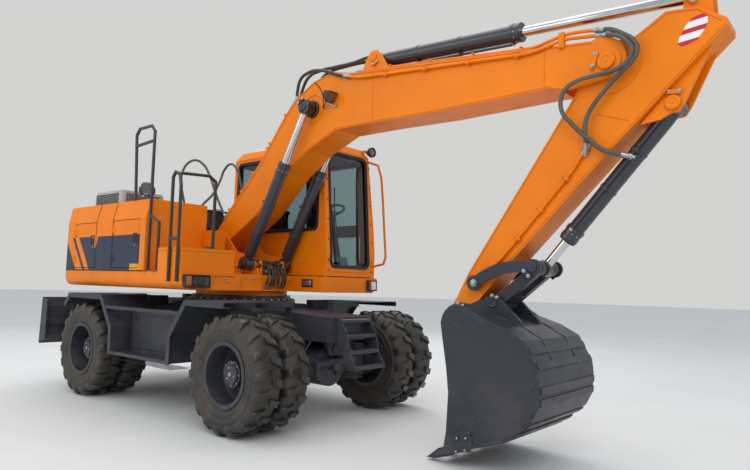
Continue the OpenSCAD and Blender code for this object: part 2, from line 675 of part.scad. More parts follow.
// The left door has rows of cooling slots
module side_door_l() difference() {
  side_door(left_door);
  color("#2f3440") for (x = [-1620, -1250], z = [1560:45:1875])
    box([x, house_y - hood_t - 5, z], [x + 300, house_y + 5, z + 20]);
}
module engine_lid() {
  color("#ee7d11") {
    box([lid_x[0] + 6, lid_y[0] + 6, hood_top - hood_t], [lid_x[1] - 6, lid_y[1] - 6, hood_top]);
    slab(lid_y[0] + 100, lid_y[1] - 150) polygon([[lid_x[0] + 60, hood_top - 1], [lid_x[1] - 60, hood_top - 1],
      [lid_x[1] - 110, hood_top + 90], [lid_x[0] + 110, hood_top + 90]]);
    for (y = [lid_y[0] + 90, lid_y[1] - 190]) {
      translate([lid_x[1] + 2, y, hood_top + hinge_r + fit]) rotate([-90, 0, 0]) cylinder(r = hinge_r, h = 100);
      box([lid_x[1] - 56, y + 2, hood_top + 0.5], [lid_x[1] + 2, y + 98, hood_top + 6]);
      box([lid_x[1] - 56, y + 2, hood_top - 1], [lid_x[1] - 8, y + 98, hood_top + 6]);
    }
  }
}
module engine() {
  color("#5a5d63") box([-1640, -520, deck_top + 0.3], [-1040, 520, 2060]);
}
module exhaust() {
  color("#3c3e44") {
    // Air cleaner with its cap, and the exhaust with its slanted mouth
    translate([-790, -820, hood_top + 0.3]) rotate_extrude() polygon([[0, 0], [62, 0], [62, 120], [84, 140],
      [90, 200], [84, 225], [70, 230], [70, 250], [48, 272], [0, 278]]);
    translate([-640, -900, hood_top + 0.3]) cylinder(r = 38, h = 120);
    bar([-640, -900, hood_top + 110], [-700, -900, hood_top + 215], 38);
  }
}
// Vent housing on the hood: a rounded cover with slots along its sides
vent_x = [-1660, -1000];
vent_y = [-1020, -460];
module vent_box() {
  low = hood_top + 0.3;
  color("#6d7177") difference() {
    union() {
      translate([vent_x[0], vent_y[0], low]) linear_extrude(height = 165)
        rounded(vent_x[1] - vent_x[0], vent_y[1] - vent_y[0], 45);
      translate([vent_x[0] + 12, vent_y[0] + 12, low + 164]) linear_extrude(height = 22)
        rounded(vent_x[1] - vent_x[0] - 24, vent_y[1] - vent_y[0] - 24, 40);
    }
    for (z = [25:22:135]) {
      for (y = [vent_y[0] - 1, vent_y[1] - 14])
        box([vent_x[0] + 60, y, low + z], [vent_x[1] - 60, y + 15, low + z + 11]);
      for (x = [vent_x[0] - 1, vent_x[1] - 14])
        box([x, vent_y[0] + 60, low + z], [x + 15, vent_y[1] - 60, low + z + 11]);
    }
  }
}
// Cover over the main valve, between the right bay and the boom
module valve_cover() {
  color("#26282e") intersection() {
    translate([0, 0, deck_top + 0.3]) linear_extrude(height = 720) translate([-762, -450]) rounded(330, 235, 40);
    slab(-460, -200) polygon([[-770, deck_top], [-425, deck_top], [-425, 2040], [-480, 2120], [-560, 2150], [-770, 2150]]);
  }
}
module tool_box() {
  color("#ee7d11") {
    difference() {
      box([165, -house_y, deck_top + 0.3], [572, -560, 1665]);
      // Seam under the lid
      difference() {
        box([160, -house_y - 5, 1628], [577, -555, 1632]);
        box([169, -house_y + 4, 1620], [568, -564, 1640]);
      }
    }
    // Stand of the pipes beside the boom's foot
    box([-95, -500, deck_top + 0.3], [45, -300, 1905]);
  }
}
module handrails() {
  y = -house_y + 22;
  out = -house_y - 18;
  color("#1d1e22") {
    tube([[-430, y + 30, hood_top + 1.2], [-430, y, 2900], [-370, y, 2965], [-120, y, 2965], [-60, y, 2900],
      [-60, y, deck_top + 0.3]], rail_r);
    bar([-430, y, 2780], [-60, y, 2800], rail_r);
    tube([[-60, y, 2010], [115, y, 1930], [115, y, deck_top + 0.3]], rail_r);
    tube([[400, out, 1330], [400, out, 2360], [440, out, 2410], [520, out, 2380], [545, out, 2264],
      [545, out, 1330]], rail_r);
    bar([400, out, 1750], [545, out, 1750], rail_r);
    tube([[440, out, 2405], [430, -820, 2430], [430, -740, 2380], [430, -740, 1665.3]], rail_r);
  }
}

// CAB

cab_z0 = deck_top + 0.3;
function cab_front() = [[cab_x0, cab_z0], [cab_x1, cab_z0], [cab_x1, 1700], [cab_x1 - 95, 2900],
  [cab_x1 - 165, 3000], [cab_x1 - 420, cab_top], [cab_x0 + 200, cab_top], [cab_x0 + 50, 3010], [cab_x0, 2900]];
function cab_cross() = [[cab_y0, cab_z0], [cab_y1, cab_z0], [cab_y1, 2000], [cab_y1 - 60, 2900],
  [cab_y1 - 130, 3010], [cab_y1 - 260, cab_top], [cab_y0 + 200, cab_top], [cab_y0 + 70, 3010], [cab_y0, 2900]];
module cab_body(d) {
  intersection() {
    slab(cab_y0 - 10, cab_y1 + 10) polygon(inset(cab_front(), d));
    slab_x(cab_x0 - 10, cab_x1 + 10) polygon(inset(cab_cross(), d));
  }
}
// The door's outline, with its waist at the cab's waist
door_x = [-60, 880];
module door_outline(gap) {
  polygon(inset([[door_x[0], 1480], [door_x[1], 1480], [door_x[1], 2000], [door_x[1] - 60, 2840],
    [door_x[1] - 130, 2880], [door_x[0], 2880]], gap));
}
module front_window(d) translate([cab_y0 + 75 + d, 1540 + d]) rounded(cab_y1 - cab_y0 - 185 - 2 * d, 1330 - 2 * d, 70);
module rear_window(d) translate([cab_y0 + 100 + d, 2150 + d]) rounded(cab_y1 - cab_y0 - 230 - 2 * d, 700 - 2 * d, 60);
module right_window(d) translate([cab_x0 + 75 + d, 1960 + d]) rounded(1480 - 2 * d, 890 - 2 * d, 60);
module left_window(d) translate([cab_x0 + 75 + d, 1960 + d]) rounded(490 - 2 * d, 890 - 2 * d, 60);
module door_window(d) {
  translate([door_x[0] + 75 + d, 2060 + d]) rounded(740 - 2 * d, 770 - 2 * d, 50);
  translate([door_x[0] + 75 + d, 1560 + d]) rounded(790 - 2 * d, 400 - 2 * d, 50);
}
module cab_shell() {
  color("#ee7d11") difference() {
    cab_body(0);
    cab_body(cab_t);
    slab_x(cab_x1 - 200, cab_x1 + 20) front_window(0);
    slab_x(cab_x0 - 20, cab_x0 + 100) rear_window(0);
    slab(cab_y0 - 20, cab_y0 + 120) right_window(0);
    slab(cab_y1 - 200, cab_y1 + 20) left_window(0);
    slab(cab_y1 - 200, cab_y1 + 20) door_outline(0);
  }
  // Bracket of the work lamp on the corner, and the grab bar in front of the pillar
  color("#ee7d11") {
    box([820, 1050, 2960], [930, 1080, 2990]);
    tube([[900, 1100, 2866], [1066, 1140, 2801], [1120, 1145, 2650], [1149, 1150, 2381], [1215, 1150, 1680],
      [1185, 1150, 1600], [995, 1150, 1562]], 14);
  }
}
module cab_door() {
  color("#ee7d11") difference() {
    intersection() {
      difference() {
        cab_body(0);
        cab_body(cab_t);
      }
      slab(cab_y1 - 200, cab_y1 + 20) door_outline(door_gap);
    }
    slab(cab_y1 - 200, cab_y1 + 20) door_window(0);
  }
  color("#ee7d11") for (z = [1560, 1850]) hinge_leaf(door_x[0], cab_y1, z);
}
module pane_layer() {
  difference() {
    cab_body(cab_t / 2 - glass_t / 2);
    cab_body(cab_t / 2 + glass_t / 2);
  }
}
module cab_glass() {
  color("#7f9aa5") {
    intersection() {
      pane_layer();
      union() {
        slab_x(cab_x1 - 200, cab_x1 + 20) front_window(0.3);
        slab_x(cab_x0 - 20, cab_x0 + 100) rear_window(0.3);
        slab(cab_y0 - 20, cab_y0 + 120) right_window(0.3);
        slab(cab_y1 - 200, cab_y1 + 20) left_window(0.3);
      }
    }
  }
}
module door_glass() {
  color("#7f9aa5") intersection() {
    pane_layer();
    slab(cab_y1 - 200, cab_y1 + 20) door_window(0.3);
  }
}
seat_x = -60;
seat_y = 760;
floor_z = cab_z0 + cab_t;
module seat_base() {
  color("#26272b") {
    box([seat_x - 230, seat_y - 200, floor_z + 0.3], [seat_x + 230, seat_y + 200, floor_z + 330]);
  }
}
module seat_cushion() {
  color("#33353a") box([seat_x - 240, seat_y - 245, floor_z + 330.6], [seat_x + 260, seat_y + 245, floor_z + 450]);
}
module seat_back() {
  color("#33353a") slab(seat_y - 235, seat_y + 235) polygon([[seat_x - 320, floor_z + 460], [seat_x - 200, floor_z + 450.4],
    [seat_x - 300, floor_z + 1060], [seat_x - 400, floor_z + 1040]]);
}
module controls() {
  color("#1f2023") {
    for (y = [seat_y - 350, seat_y + 270]) {
      box([seat_x - 200, y, floor_z + 0.3], [seat_x + 330, y + 80, floor_z + 520]);
      bar([seat_x + 270, y + 40, floor_z + 515], [seat_x + 300, y + 40, floor_z + 700], 13);
      translate([seat_x + 302, y + 40, floor_z + 715]) sphere(r = 27);
    }
    // Steering column and wheel
    box([780, seat_y - 70, floor_z + 0.3], [900, seat_y + 70, floor_z + 45]);
    bar([835, seat_y, floor_z + 20], [640, seat_y, floor_z + 740], 42);
    translate([638, seat_y, floor_z + 750]) rotate([0, -20, 0]) {
      rotate_extrude() translate([180, 0]) circle(r = 14);
      for (a = [90, 210, 330]) rotate([0, 0, a]) rotate([0, 90, 0]) cylinder(r = 9, h = 178);
      cylinder(r = 42, h = 26, center = true);
    }
  }
}
module lamps() {
  color("#33353a") {
    // Columns: front face, right end, left end
    for (t = [[front_right, -1186, -892], [front_left, 1010, 1160]]) difference() {
      box([t[0] + 0.3, t[1], 1276], [t[0] + 42, t[2], 1402]);
      box([t[0] + 26, t[1] + 12, 1288], [t[0] + 43, t[2] - 12, 1390]);
    }
    translate([front_right + 25, -990, 1339]) rotate([0, 90, 0]) cylinder(r = 46, h = 14);
    translate([front_left + 25, 1085, 1339]) rotate([0, 90, 0]) cylinder(r = 46, h = 14);
    // Work lamp on the cab's corner
    translate([900, 1140, 2975]) rotate([0, 90, 0]) rotate_extrude() polygon([[0, 0], [34, 0], [62, 42], [62, 78],
      [52, 78], [52, 66], [0, 66]]);
    box([890, 1080.3, 2962], [925, 1120, 2988]);
  }
}

// BOOM AND ARM, closed boxes of plate with solid bosses at their pins

boom_line = [[-190, 1735], [429, 2091], [886, 2512], [1205, 2723], [1615, 2891], [2190, 2889], [2864, 2875],
  [3871, 2891], [4012, 2855], [4200, 2868], [4350, 2890], [4430, 2960], [4440, 3045], [4400, 3140],
  [4280, 3218], [4188, 3187], [1796, 3437], [1523, 3499], [1259, 3446], [1009, 3311], [802, 3093],
  [419, 2626], [-184, 2050], [-335, 1905], [-360, 1850], [-350, 1770], [-290, 1725]];
module boom() {
  slot_y = 147;
  slot_r = 385;
  ear = [[1850, 3420], [2240, 3380], [2100, 3590], [2060, 3635], [1980, 3635], [1935, 3580]];
  color("#ee7d11") {
    difference() {
      union() {
        slab(-boom_y, boom_y) polygon(boom_line);
        both_sides() {
          pin(boom_cyl_head, 88, boom_y - 1, boom_y + 30);
          pin(arm_p, 104, boom_y - 1, boom_y + 10);
        }
      }
      difference() {
        slab(-boom_y + plate_t, boom_y - plate_t) polygon(inset(boom_line, plate_t));
        pin(foot_p, 150, -boom_y, boom_y);
        pin(boom_cyl_head, 110, -boom_y, boom_y);
        pin(arm_p, slot_r + plate_t, -boom_y, boom_y);
      }
      pin(foot_p, pin_r + fit, -boom_y - 1, boom_y + 1);
      pin(arm_p, slot_r, -slot_y, slot_y);
    }
    pin(arm_p, pin_r, -boom_y - 14, boom_y + 14);
    both_sides() slab(78, 104) polygon(ear);
    pin(arm_cyl_foot, 40, -114, 114);
  }
}
arm_line = [[2990, 1190], [3012, 1112], [3085, 1070], [3150, 1092], [3233, 1229], [3422, 1443], [3580, 1610],
  [4251, 2304], [5065, 3104], [5065, 3150], [4895, 3271], [4690, 3290], [4494, 3165], [4400, 3158],
  [4300, 3176], [4215, 3150], [4150, 3070], [4118, 2960], [4061, 2826], [3150, 1474], [3038, 1262]];
module arm() {
  ear = [[4780, 3200], [4980, 3200], [4965, 3395], [4930, 3455], [4880, 3475], [4825, 3455], [4800, 3400]];
  foot = [[4500, 2530], [4640, 2545], [4700, 2582], [4760, 2590], [4800, 2650], [4985, 3045], [4900, 2960]];
  color("#ee7d11") {
    difference() {
      slab(-arm_y, arm_y) polygon(arm_line);
      difference() {
        slab(-arm_y + plate_t, arm_y - plate_t) polygon(inset(arm_line, plate_t));
        pin(arm_p, 150, -arm_y, arm_y);
        pin(bucket_p, 90, -arm_y, arm_y);
        pin(side_link_p, 75, -arm_y, arm_y);
      }
      // Room for the rod's eye in the top of the head
      slab(-58, 58) polygon([[4480, 3420], [4560, 3185], [4620, 3150], [4740, 3150], [4990, 3290], [5010, 3420]]);
      pin(arm_p, pin_r + fit, -arm_y - 1, arm_y + 1);
      pin(bucket_p, 35 + fit, -arm_y - 1, arm_y + 1);
    }
    both_sides() {
      slab(62, 88) polygon(ear);
      pin(arm_cyl_head, 48, 87, 104);
      slab(68, 94) polygon(foot);
    }
    pin(bucket_cyl_foot, 36, -104, 104);
    pin(side_link_p, 32, -206, 206);
  }
}

// BUCKET AND ITS LINKS

// Side links bow outward between their bosses
link_bow = 55;
module side_links() {
  v = knee_p - side_link_p;
  n = left_of(unit(v));
  middle = [for (t = [0:0.1:1]) side_link_p + v * t + n * link_bow * 4 * t * (1 - t)];
  color("#3a3d45") both_sides() {
    difference() {
      union() {
        slab(182, 204) {
          translate(side_link_p) circle(r = 62);
          translate(knee_p) circle(r = 66);
          polygon(concat([for (p = middle) p - n * 46], reversed([for (p = middle) p + n * 44])));
        }
        // Keeper bosses
        pin(side_link_p, 50, 203, 212);
        pin(knee_p, 54, 203, 214);
      }
      pin(side_link_p, 32 + fit, 180, 215);
    }
    pin(knee_p, 44, 146, 183);
  }
}
module bucket_link() {
  v = unit(knee_p - link_p);
  n = left_of(v) * 44;
  near = link_p + v * 150;
  color("#3a3d45") difference() {
    union() {
      both_sides() slab(74, 140) {
        translate(link_p) circle(r = 62);
        translate(knee_p) circle(r = 56);
        polygon([link_p - n, knee_p - n, knee_p + n, link_p + n]);
      }
      slab(-75, 75) {
        translate(link_p) circle(r = 62);
        polygon([link_p - n, near - n, near + n, link_p + n]);
      }
    }
    pin(link_p, 32 + fit, -141, 141);
  }
}
shell_line = [[3150, 1030], [3300, 1112], [3422, 1140], [3668, 1067], [3830, 985], [3942, 783], [3953, 685],
  [3944, 534], [3890, 427], [3678, 250], [3160, 75]];
mouth_line = [[3206, 590], [3135, 1000]];
// Wear strips as [x, z, angle of the shell's outward face]
wear_strips = [[3869, 914, 29], [3925, 813, 29], [3951, 647, -3.4], [3946, 564, -3.4], [3848, 392, -50.1],
  [3759, 317, -50.1]];
module bucket() {
  ear = [[3030, 1085], [3150, 1025], [3300, 1105], [3422, 1133], [3650, 1068], [3640, 1100], [3478, 1255],
    [3450, 1290], [3400, 1304], [3345, 1282], [3190, 1215], [3130, 1222], [3060, 1228], [3010, 1185], [3002, 1130]];
  color("#3a3d45") {
    slab(-bucket_y + 2, bucket_y - 2) polygon(band(reversed(shell_line), bucket_t));
    both_sides() {
      slab(bucket_y - bucket_t, bucket_y) {
        polygon(reversed(concat(shell_line, [[3190, 250]], mouth_line)));
        // The side plate rises above the shell beside the ears
        polygon(reversed([[3141, 960], [3123, 1076], [3140, 1135], [3162, 1169], [3200, 1203], [3241, 1222],
          [3300, 1215], [3373, 1188], [3450, 1140], [3513, 1100], [3480, 1040]]));
      }
      slab(146, 176) polygon(reversed(ear));
      // Side cutter and its bolts
      slab(bucket_y - 1, bucket_y + 14) polygon([[3150, 70], [3335, 125], [3405, 140], [3420, 170], [3417, 258],
        [3398, 285], [3340, 280], [3283, 263], [3225, 222], [3195, 180]]);
      for (p = [[3304, 226], [3380, 239], [3299, 128], [3375, 150]]) slab(bucket_y + 13, bucket_y + 24)
        translate(p) circle(r = 17, $fn = 6);
    }
    // Cutting edge and the teeth on it
    slab(-bucket_y, bucket_y) polygon([[3110, 58], [3330, 133], [3322, 158], [3112, 84]]);
    for (i = [0:teeth - 1]) slab(-36 - bucket_y + 60 + i * (2 * bucket_y - 120) / (teeth - 1),
      36 - bucket_y + 60 + i * (2 * bucket_y - 120) / (teeth - 1))
      polygon([[3000, 22], [3080, 26], [3215, 72], [3230, 92], [3205, 135], [3105, 108]]);
    // Flat wear strips across the back of the shell
    for (w = wear_strips) slab(-bucket_y + 14, bucket_y - 14)
      translate([w[0], w[1]]) rotate(w[2]) translate([-8, -26]) square([20, 52]);
    pin(bucket_p, 35, -176, 176);
    pin(link_p, 32, -176, 176);
  }
}

placed() chassis();
placed() front_axle();
placed() rear_axle();
placed() drive_line();
placed() side_step_r();
placed() side_step_l();
placed() front_ladder();
placed() knuckle_l();
placed() knuckle_r();
placed() tie_rod();
placed() tyre_fl();
placed() tyre_fr();
placed() tyre_rl();
placed() tyre_rr();
placed() rim_fl();
placed() rim_fr();
placed() rim_rl();
placed() rim_rr();
placed() blade();
placed() blade_arms();
placed() blade_links();
placed() blade_barrels();
placed() blade_rods();
placed() deck();
placed() counterweight();
placed() hood();
placed() engine();
placed() engine_lid();
placed() side_door_r();
placed() pump_door_r();
placed() side_door_l();
placed() tool_box();
placed() handrails();
placed() exhaust();
placed() vent_box();
placed() valve_cover();
placed() cab_shell();
placed() cab_door();
placed() cab_glass();
placed() door_glass();
placed() seat_base();
placed() seat_cushion();
placed() seat_back();
placed() controls();
placed() lamps();
placed() boom();
placed() boom_barrels();
placed() boom_rods();
placed() arm_barrel();
placed() arm_rod();
placed() arm();
placed() bucket_barrel();
placed() bucket_rod();
placed() side_links();
placed() bucket_link();
placed() bucket();
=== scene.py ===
import math

import bmesh
import bpy
from bpy.props import FloatProperty, FloatVectorProperty, IntProperty, PointerProperty
from mathutils import Matrix, Vector


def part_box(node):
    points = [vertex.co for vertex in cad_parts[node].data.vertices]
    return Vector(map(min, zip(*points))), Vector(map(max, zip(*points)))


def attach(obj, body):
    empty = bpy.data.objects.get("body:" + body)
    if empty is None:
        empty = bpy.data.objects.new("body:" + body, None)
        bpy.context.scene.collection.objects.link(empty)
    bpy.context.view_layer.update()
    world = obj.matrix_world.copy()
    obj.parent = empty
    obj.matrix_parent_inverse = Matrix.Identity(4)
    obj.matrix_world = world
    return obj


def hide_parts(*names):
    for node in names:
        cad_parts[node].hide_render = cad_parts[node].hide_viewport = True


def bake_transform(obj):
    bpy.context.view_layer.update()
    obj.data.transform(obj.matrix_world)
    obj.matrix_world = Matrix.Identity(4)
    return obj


bl_info = {
    "name": "Wheeled Excavator Finish",
    "version": (1, 0, 0),
    "blender": (4, 5, 0),
    "location": "View3D > Sidebar > Excavator",
    "description": "Paints a wheeled excavator and adds its treads, hoses, rubbers and fittings",
    "category": "Object",
}

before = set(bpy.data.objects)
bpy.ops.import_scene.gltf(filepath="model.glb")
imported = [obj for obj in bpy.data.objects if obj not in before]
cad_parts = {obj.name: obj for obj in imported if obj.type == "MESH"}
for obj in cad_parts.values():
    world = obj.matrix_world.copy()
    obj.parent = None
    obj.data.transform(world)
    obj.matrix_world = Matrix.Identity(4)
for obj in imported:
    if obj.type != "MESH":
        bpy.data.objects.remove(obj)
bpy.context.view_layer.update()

# Distance in mm from the slewing axis to the middle of the machine's length.
SLEW_X = 1316.3
AXLE_X = 1350.0
WHEEL_Z = 530.0
TYRES = (1100.0, 780.0)


def at(x, y, z):
    """A point given in mm from the slewing axis, in metres in the part's frame."""
    return Vector(((x - SLEW_X) / 1000, y / 1000, z / 1000))


def in_metres(point):
    """A Vector is in metres already. Three plain numbers are in mm."""
    return point if isinstance(point, Vector) else at(*point)


# Shapes


def soften(bm, width, segments=2, least=0.45):
    """Rounds the edges that turn by more than least radians. The width is in mm."""
    bmesh.ops.recalc_face_normals(bm, faces=bm.faces)
    edges = [e for e in bm.edges if len(e.link_faces) == 2 and e.calc_face_angle(0) > least]
    bmesh.ops.bevel(bm, geom=edges, offset=width / 1000, offset_type="OFFSET", segments=segments,
                    profile=0.5, affect="EDGES", material=-1, clamp_overlap=True)
    return bm


def prism(corners, sweep, bevel=0, segments=2):
    """A flat outline drawn out along the sweep."""
    bm = bmesh.new()
    face = bm.faces.new([bm.verts.new(c) for c in corners])
    out = bmesh.ops.extrude_face_region(bm, geom=[face])
    moved = [g for g in out["geom"] if isinstance(g, bmesh.types.BMVert)]
    bmesh.ops.translate(bm, verts=moved, vec=sweep)
    return soften(bm, bevel, segments) if bevel else bm


def plate(outline, y0, y1, bevel=0, segments=2):
    """An outline of x and z, from y0 to y1."""
    return prism([at(x, y0, z) for x, z in outline], (0, (y1 - y0) / 1000, 0), bevel, segments)


def panel(outline, x0, x1, bevel=0, segments=2):
    """An outline of y and z, from x0 to x1."""
    return prism([at(x0, y, z) for y, z in outline], ((x1 - x0) / 1000, 0, 0), bevel, segments)


def slab(outline, z0, z1, bevel=0, segments=2):
    """An outline of x and y, from z0 to z1."""
    return prism([at(x, y, z0) for x, y in outline], (0, 0, (z1 - z0) / 1000), bevel, segments)


def cube(bm, centre, sides, turn=Matrix()):
    """Adds a box with these sides in metres, turned about its centre."""
    place = Matrix.Translation(centre) @ turn @ Matrix.Diagonal((*sides, 1))
    bmesh.ops.create_cube(bm, size=1, matrix=place)
    return bm


def block(low, high, bevel=0, segments=2):
    """A box between two opposite corners."""
    low, high = (at(*(pick(pair) for pair in zip(low, high))) for pick in (min, max))
    bm = cube(bmesh.new(), (low + high) / 2, high - low)
    return soften(bm, bevel, segments) if bevel else bm


def axes(x, y, z):
    """The turn that lays the three axes along these directions."""
    return Matrix((x, y, z)).transposed().to_4x4()


def turned(axis):
    """The turn that lays the Z axis along this one."""
    return Vector(axis).to_track_quat("Z", "Y").to_matrix().to_4x4()


def rod(start, end, radius, bevel=0, sides=20, tip=None):
    """A round bar between two points. Radius, tip radius and bevel are in mm."""
    start, end = in_metres(start), in_metres(end)
    bm = bmesh.new()
    place = Matrix.Translation((start + end) / 2) @ turned(end - start)
    bmesh.ops.create_cone(bm, cap_ends=True, segments=sides, radius1=radius / 1000,
                          radius2=(radius if tip is None else tip) / 1000,
                          depth=(end - start).length, matrix=place)
    return soften(bm, bevel, 2, 0.9) if bevel else bm


def nut(centre, axis, size=15, height=12):
    """A six-sided nut on a round washer, standing on the centre. Axis points outwards."""
    centre, axis = in_metres(centre), Vector(axis).normalized()
    bm = rod(centre, centre + axis * height / 1000, size, 1.5, 6)
    washer = rod(centre, centre + axis * 0.003, size * 1.35, 0, 16)
    return joined(bm, washer)


def pour(part, whole):
    """Moves a shape into another one."""
    mesh = bpy.data.meshes.new("part")
    part.to_mesh(mesh)
    whole.from_mesh(mesh)
    bpy.data.meshes.remove(mesh)
    part.free()


def joined(*parts):
    """Several shapes as one."""
    whole = bmesh.new()
    for part in parts:
        pour(part, whole)
    return whole


def lathe(profile, centre, axis, steps=48):
    """A profile of radius and height in mm, spun once about the axis through the centre."""
    centre, axis = in_metres(centre), Vector(axis).normalized()
    side = axis.orthogonal().normalized()
    bm = bmesh.new()
    line = [bm.verts.new(centre + side * r / 1000 + axis * h / 1000) for r, h in profile]
    edges = [bm.edges.new(pair) for pair in zip(line, line[1:])]
    bmesh.ops.spin(bm, geom=line + edges, cent=centre, axis=axis, angle=math.tau, steps=steps,
                   use_merge=True)
    bmesh.ops.remove_doubles(bm, verts=bm.verts, dist=1e-6)
    return bm


def pipe(points, radius, soft=False, corner=40, sides=3):
    """A tube along points: bent round its corners, or one soft curve. Radius in mm."""
    points = [in_metres(p) for p in points]
    if not soft:
        points = rounded(points, corner / 1000)
    curve = bpy.data.curves.new("pipe", "CURVE")
    curve.dimensions = "3D"
    curve.bevel_depth = radius / 1000
    curve.bevel_resolution = sides
    curve.use_fill_caps = True
    curve.resolution_u = 8
    spline = curve.splines.new("BEZIER" if soft else "POLY")
    if soft:
        spline.bezier_points.add(len(points) - 1)
        for knot, point in zip(spline.bezier_points, points):
            knot.co = point
            knot.handle_left_type = knot.handle_right_type = "AUTO"
    else:
        spline.points.add(len(points) - 1)
        for knot, point in zip(spline.points, points):
            knot.co = (*point, 1)
    holder = bpy.data.objects.new("pipe", curve)
    bm = bmesh.new()
    bm.from_mesh(holder.to_mesh())
    holder.to_mesh_clear()
    bpy.data.objects.remove(holder)
    bpy.data.curves.remove(curve)
    return bm


def rounded(points, radius):
    """The points of a line with each corner turned into a short arc."""
    line = [points[0]]
    for before, corner, after in zip(points, points[1:], points[2:]):
        a, b = before - corner, after - corner
        reach = min(radius, a.length * 0.45, b.length * 0.45)
        p, q = corner + a.normalized() * reach, corner + b.normalized() * reach
        for step in range(5):
            t = step / 4
            line.append(p * (1 - t) ** 2 + corner * 2 * t * (1 - t) + q * t ** 2)
    return line + [points[-1]]


def flip(bm):
    """Turns a shape into the one on the machine's other side."""
    bmesh.ops.scale(bm, vec=(1, -1, 1), verts=bm.verts)
    bmesh.ops.reverse_faces(bm, faces=bm.faces)
    return bm


def new_object(name, bm):
    """A shape as an object of the scene."""
    mesh = bpy.data.meshes.new(name)
    bm.to_mesh(mesh)
    bm.free()
    obj = bpy.data.objects.new(name, mesh)
    bpy.context.scene.collection.objects.link(obj)
    return obj


class Piece:
    """A mesh under construction. Each shape is added with the finish it wears, else the first one."""

    def __init__(self, *finishes):
        self.bm = bmesh.new()
        self.finishes = finishes

    def add(self, shape, finish=None, both=False):
        if both:
            self.add(flip(shape.copy()), finish)
        bmesh.ops.recalc_face_normals(shape, faces=shape.faces)
        for face in shape.faces:
            face.material_index = self.finishes.index(finish) if finish else 0
        pour(shape, self.bm)

    def fittings(self, points, radius):
        """The swaged ends of a line through points in metres."""
        for i, j in ((0, 1), (-1, -2)):
            self.add(fitting(points[i], points[i] - points[j], radius), "steel")

    def hose(self, points, radius, finish=None):
        """A soft hose through points in mm, with its fittings."""
        line = [at(*p) for p in points]
        self.add(pipe(line, radius, soft=True), finish)
        self.fittings(line, radius)

    def cap(self, centre, out, radius, keeper, finish=None):
        """The end of a pin: a disc with rings, and a keeper plate with its two bolts."""
        centre, out, keeper = in_metres(centre), Vector(out), Vector(keeper).normalized()
        across = out.cross(keeper)
        r = radius
        disc = lathe([(0, 15), (r * 0.16, 15), (r * 0.20, 12), (r * 0.55, 12), (r * 0.60, 15),
                      (r * 0.86, 15), (r * 0.98, 11), (r, 0)], centre, out, 40)
        plate_middle = centre + keeper * (r + 22) / 1000 + out * 0.007
        holder = cube(bmesh.new(), plate_middle, (0.034, r * 1.9 / 1000, 0.012), axes(keeper, across, out))
        self.add(joined(disc, soften(holder, 3, 1)), finish)
        bolt_line = centre + keeper * (r + 24) / 1000
        self.add(joined(*[nut(bolt_line + across * s * r * 0.66 / 1000 + out * 0.012, out, 12, 10)
                          for s in (-1, 1)]), "steel")

    def done(self, name, body, replaces=(), angle=40):
        """The finished piece: it rides with its body and wears its slot."""
        obj = new_object(name, self.bm)
        obj.data.shade_smooth()
        obj.data.set_sharp_from_angle(angle=math.radians(angle))
        for finish in self.finishes:
            obj.data.materials.append(FINISH[finish])
        if body:
            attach(obj, body)
        if replaces:
            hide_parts(*replaces)
        return obj


# Finishes


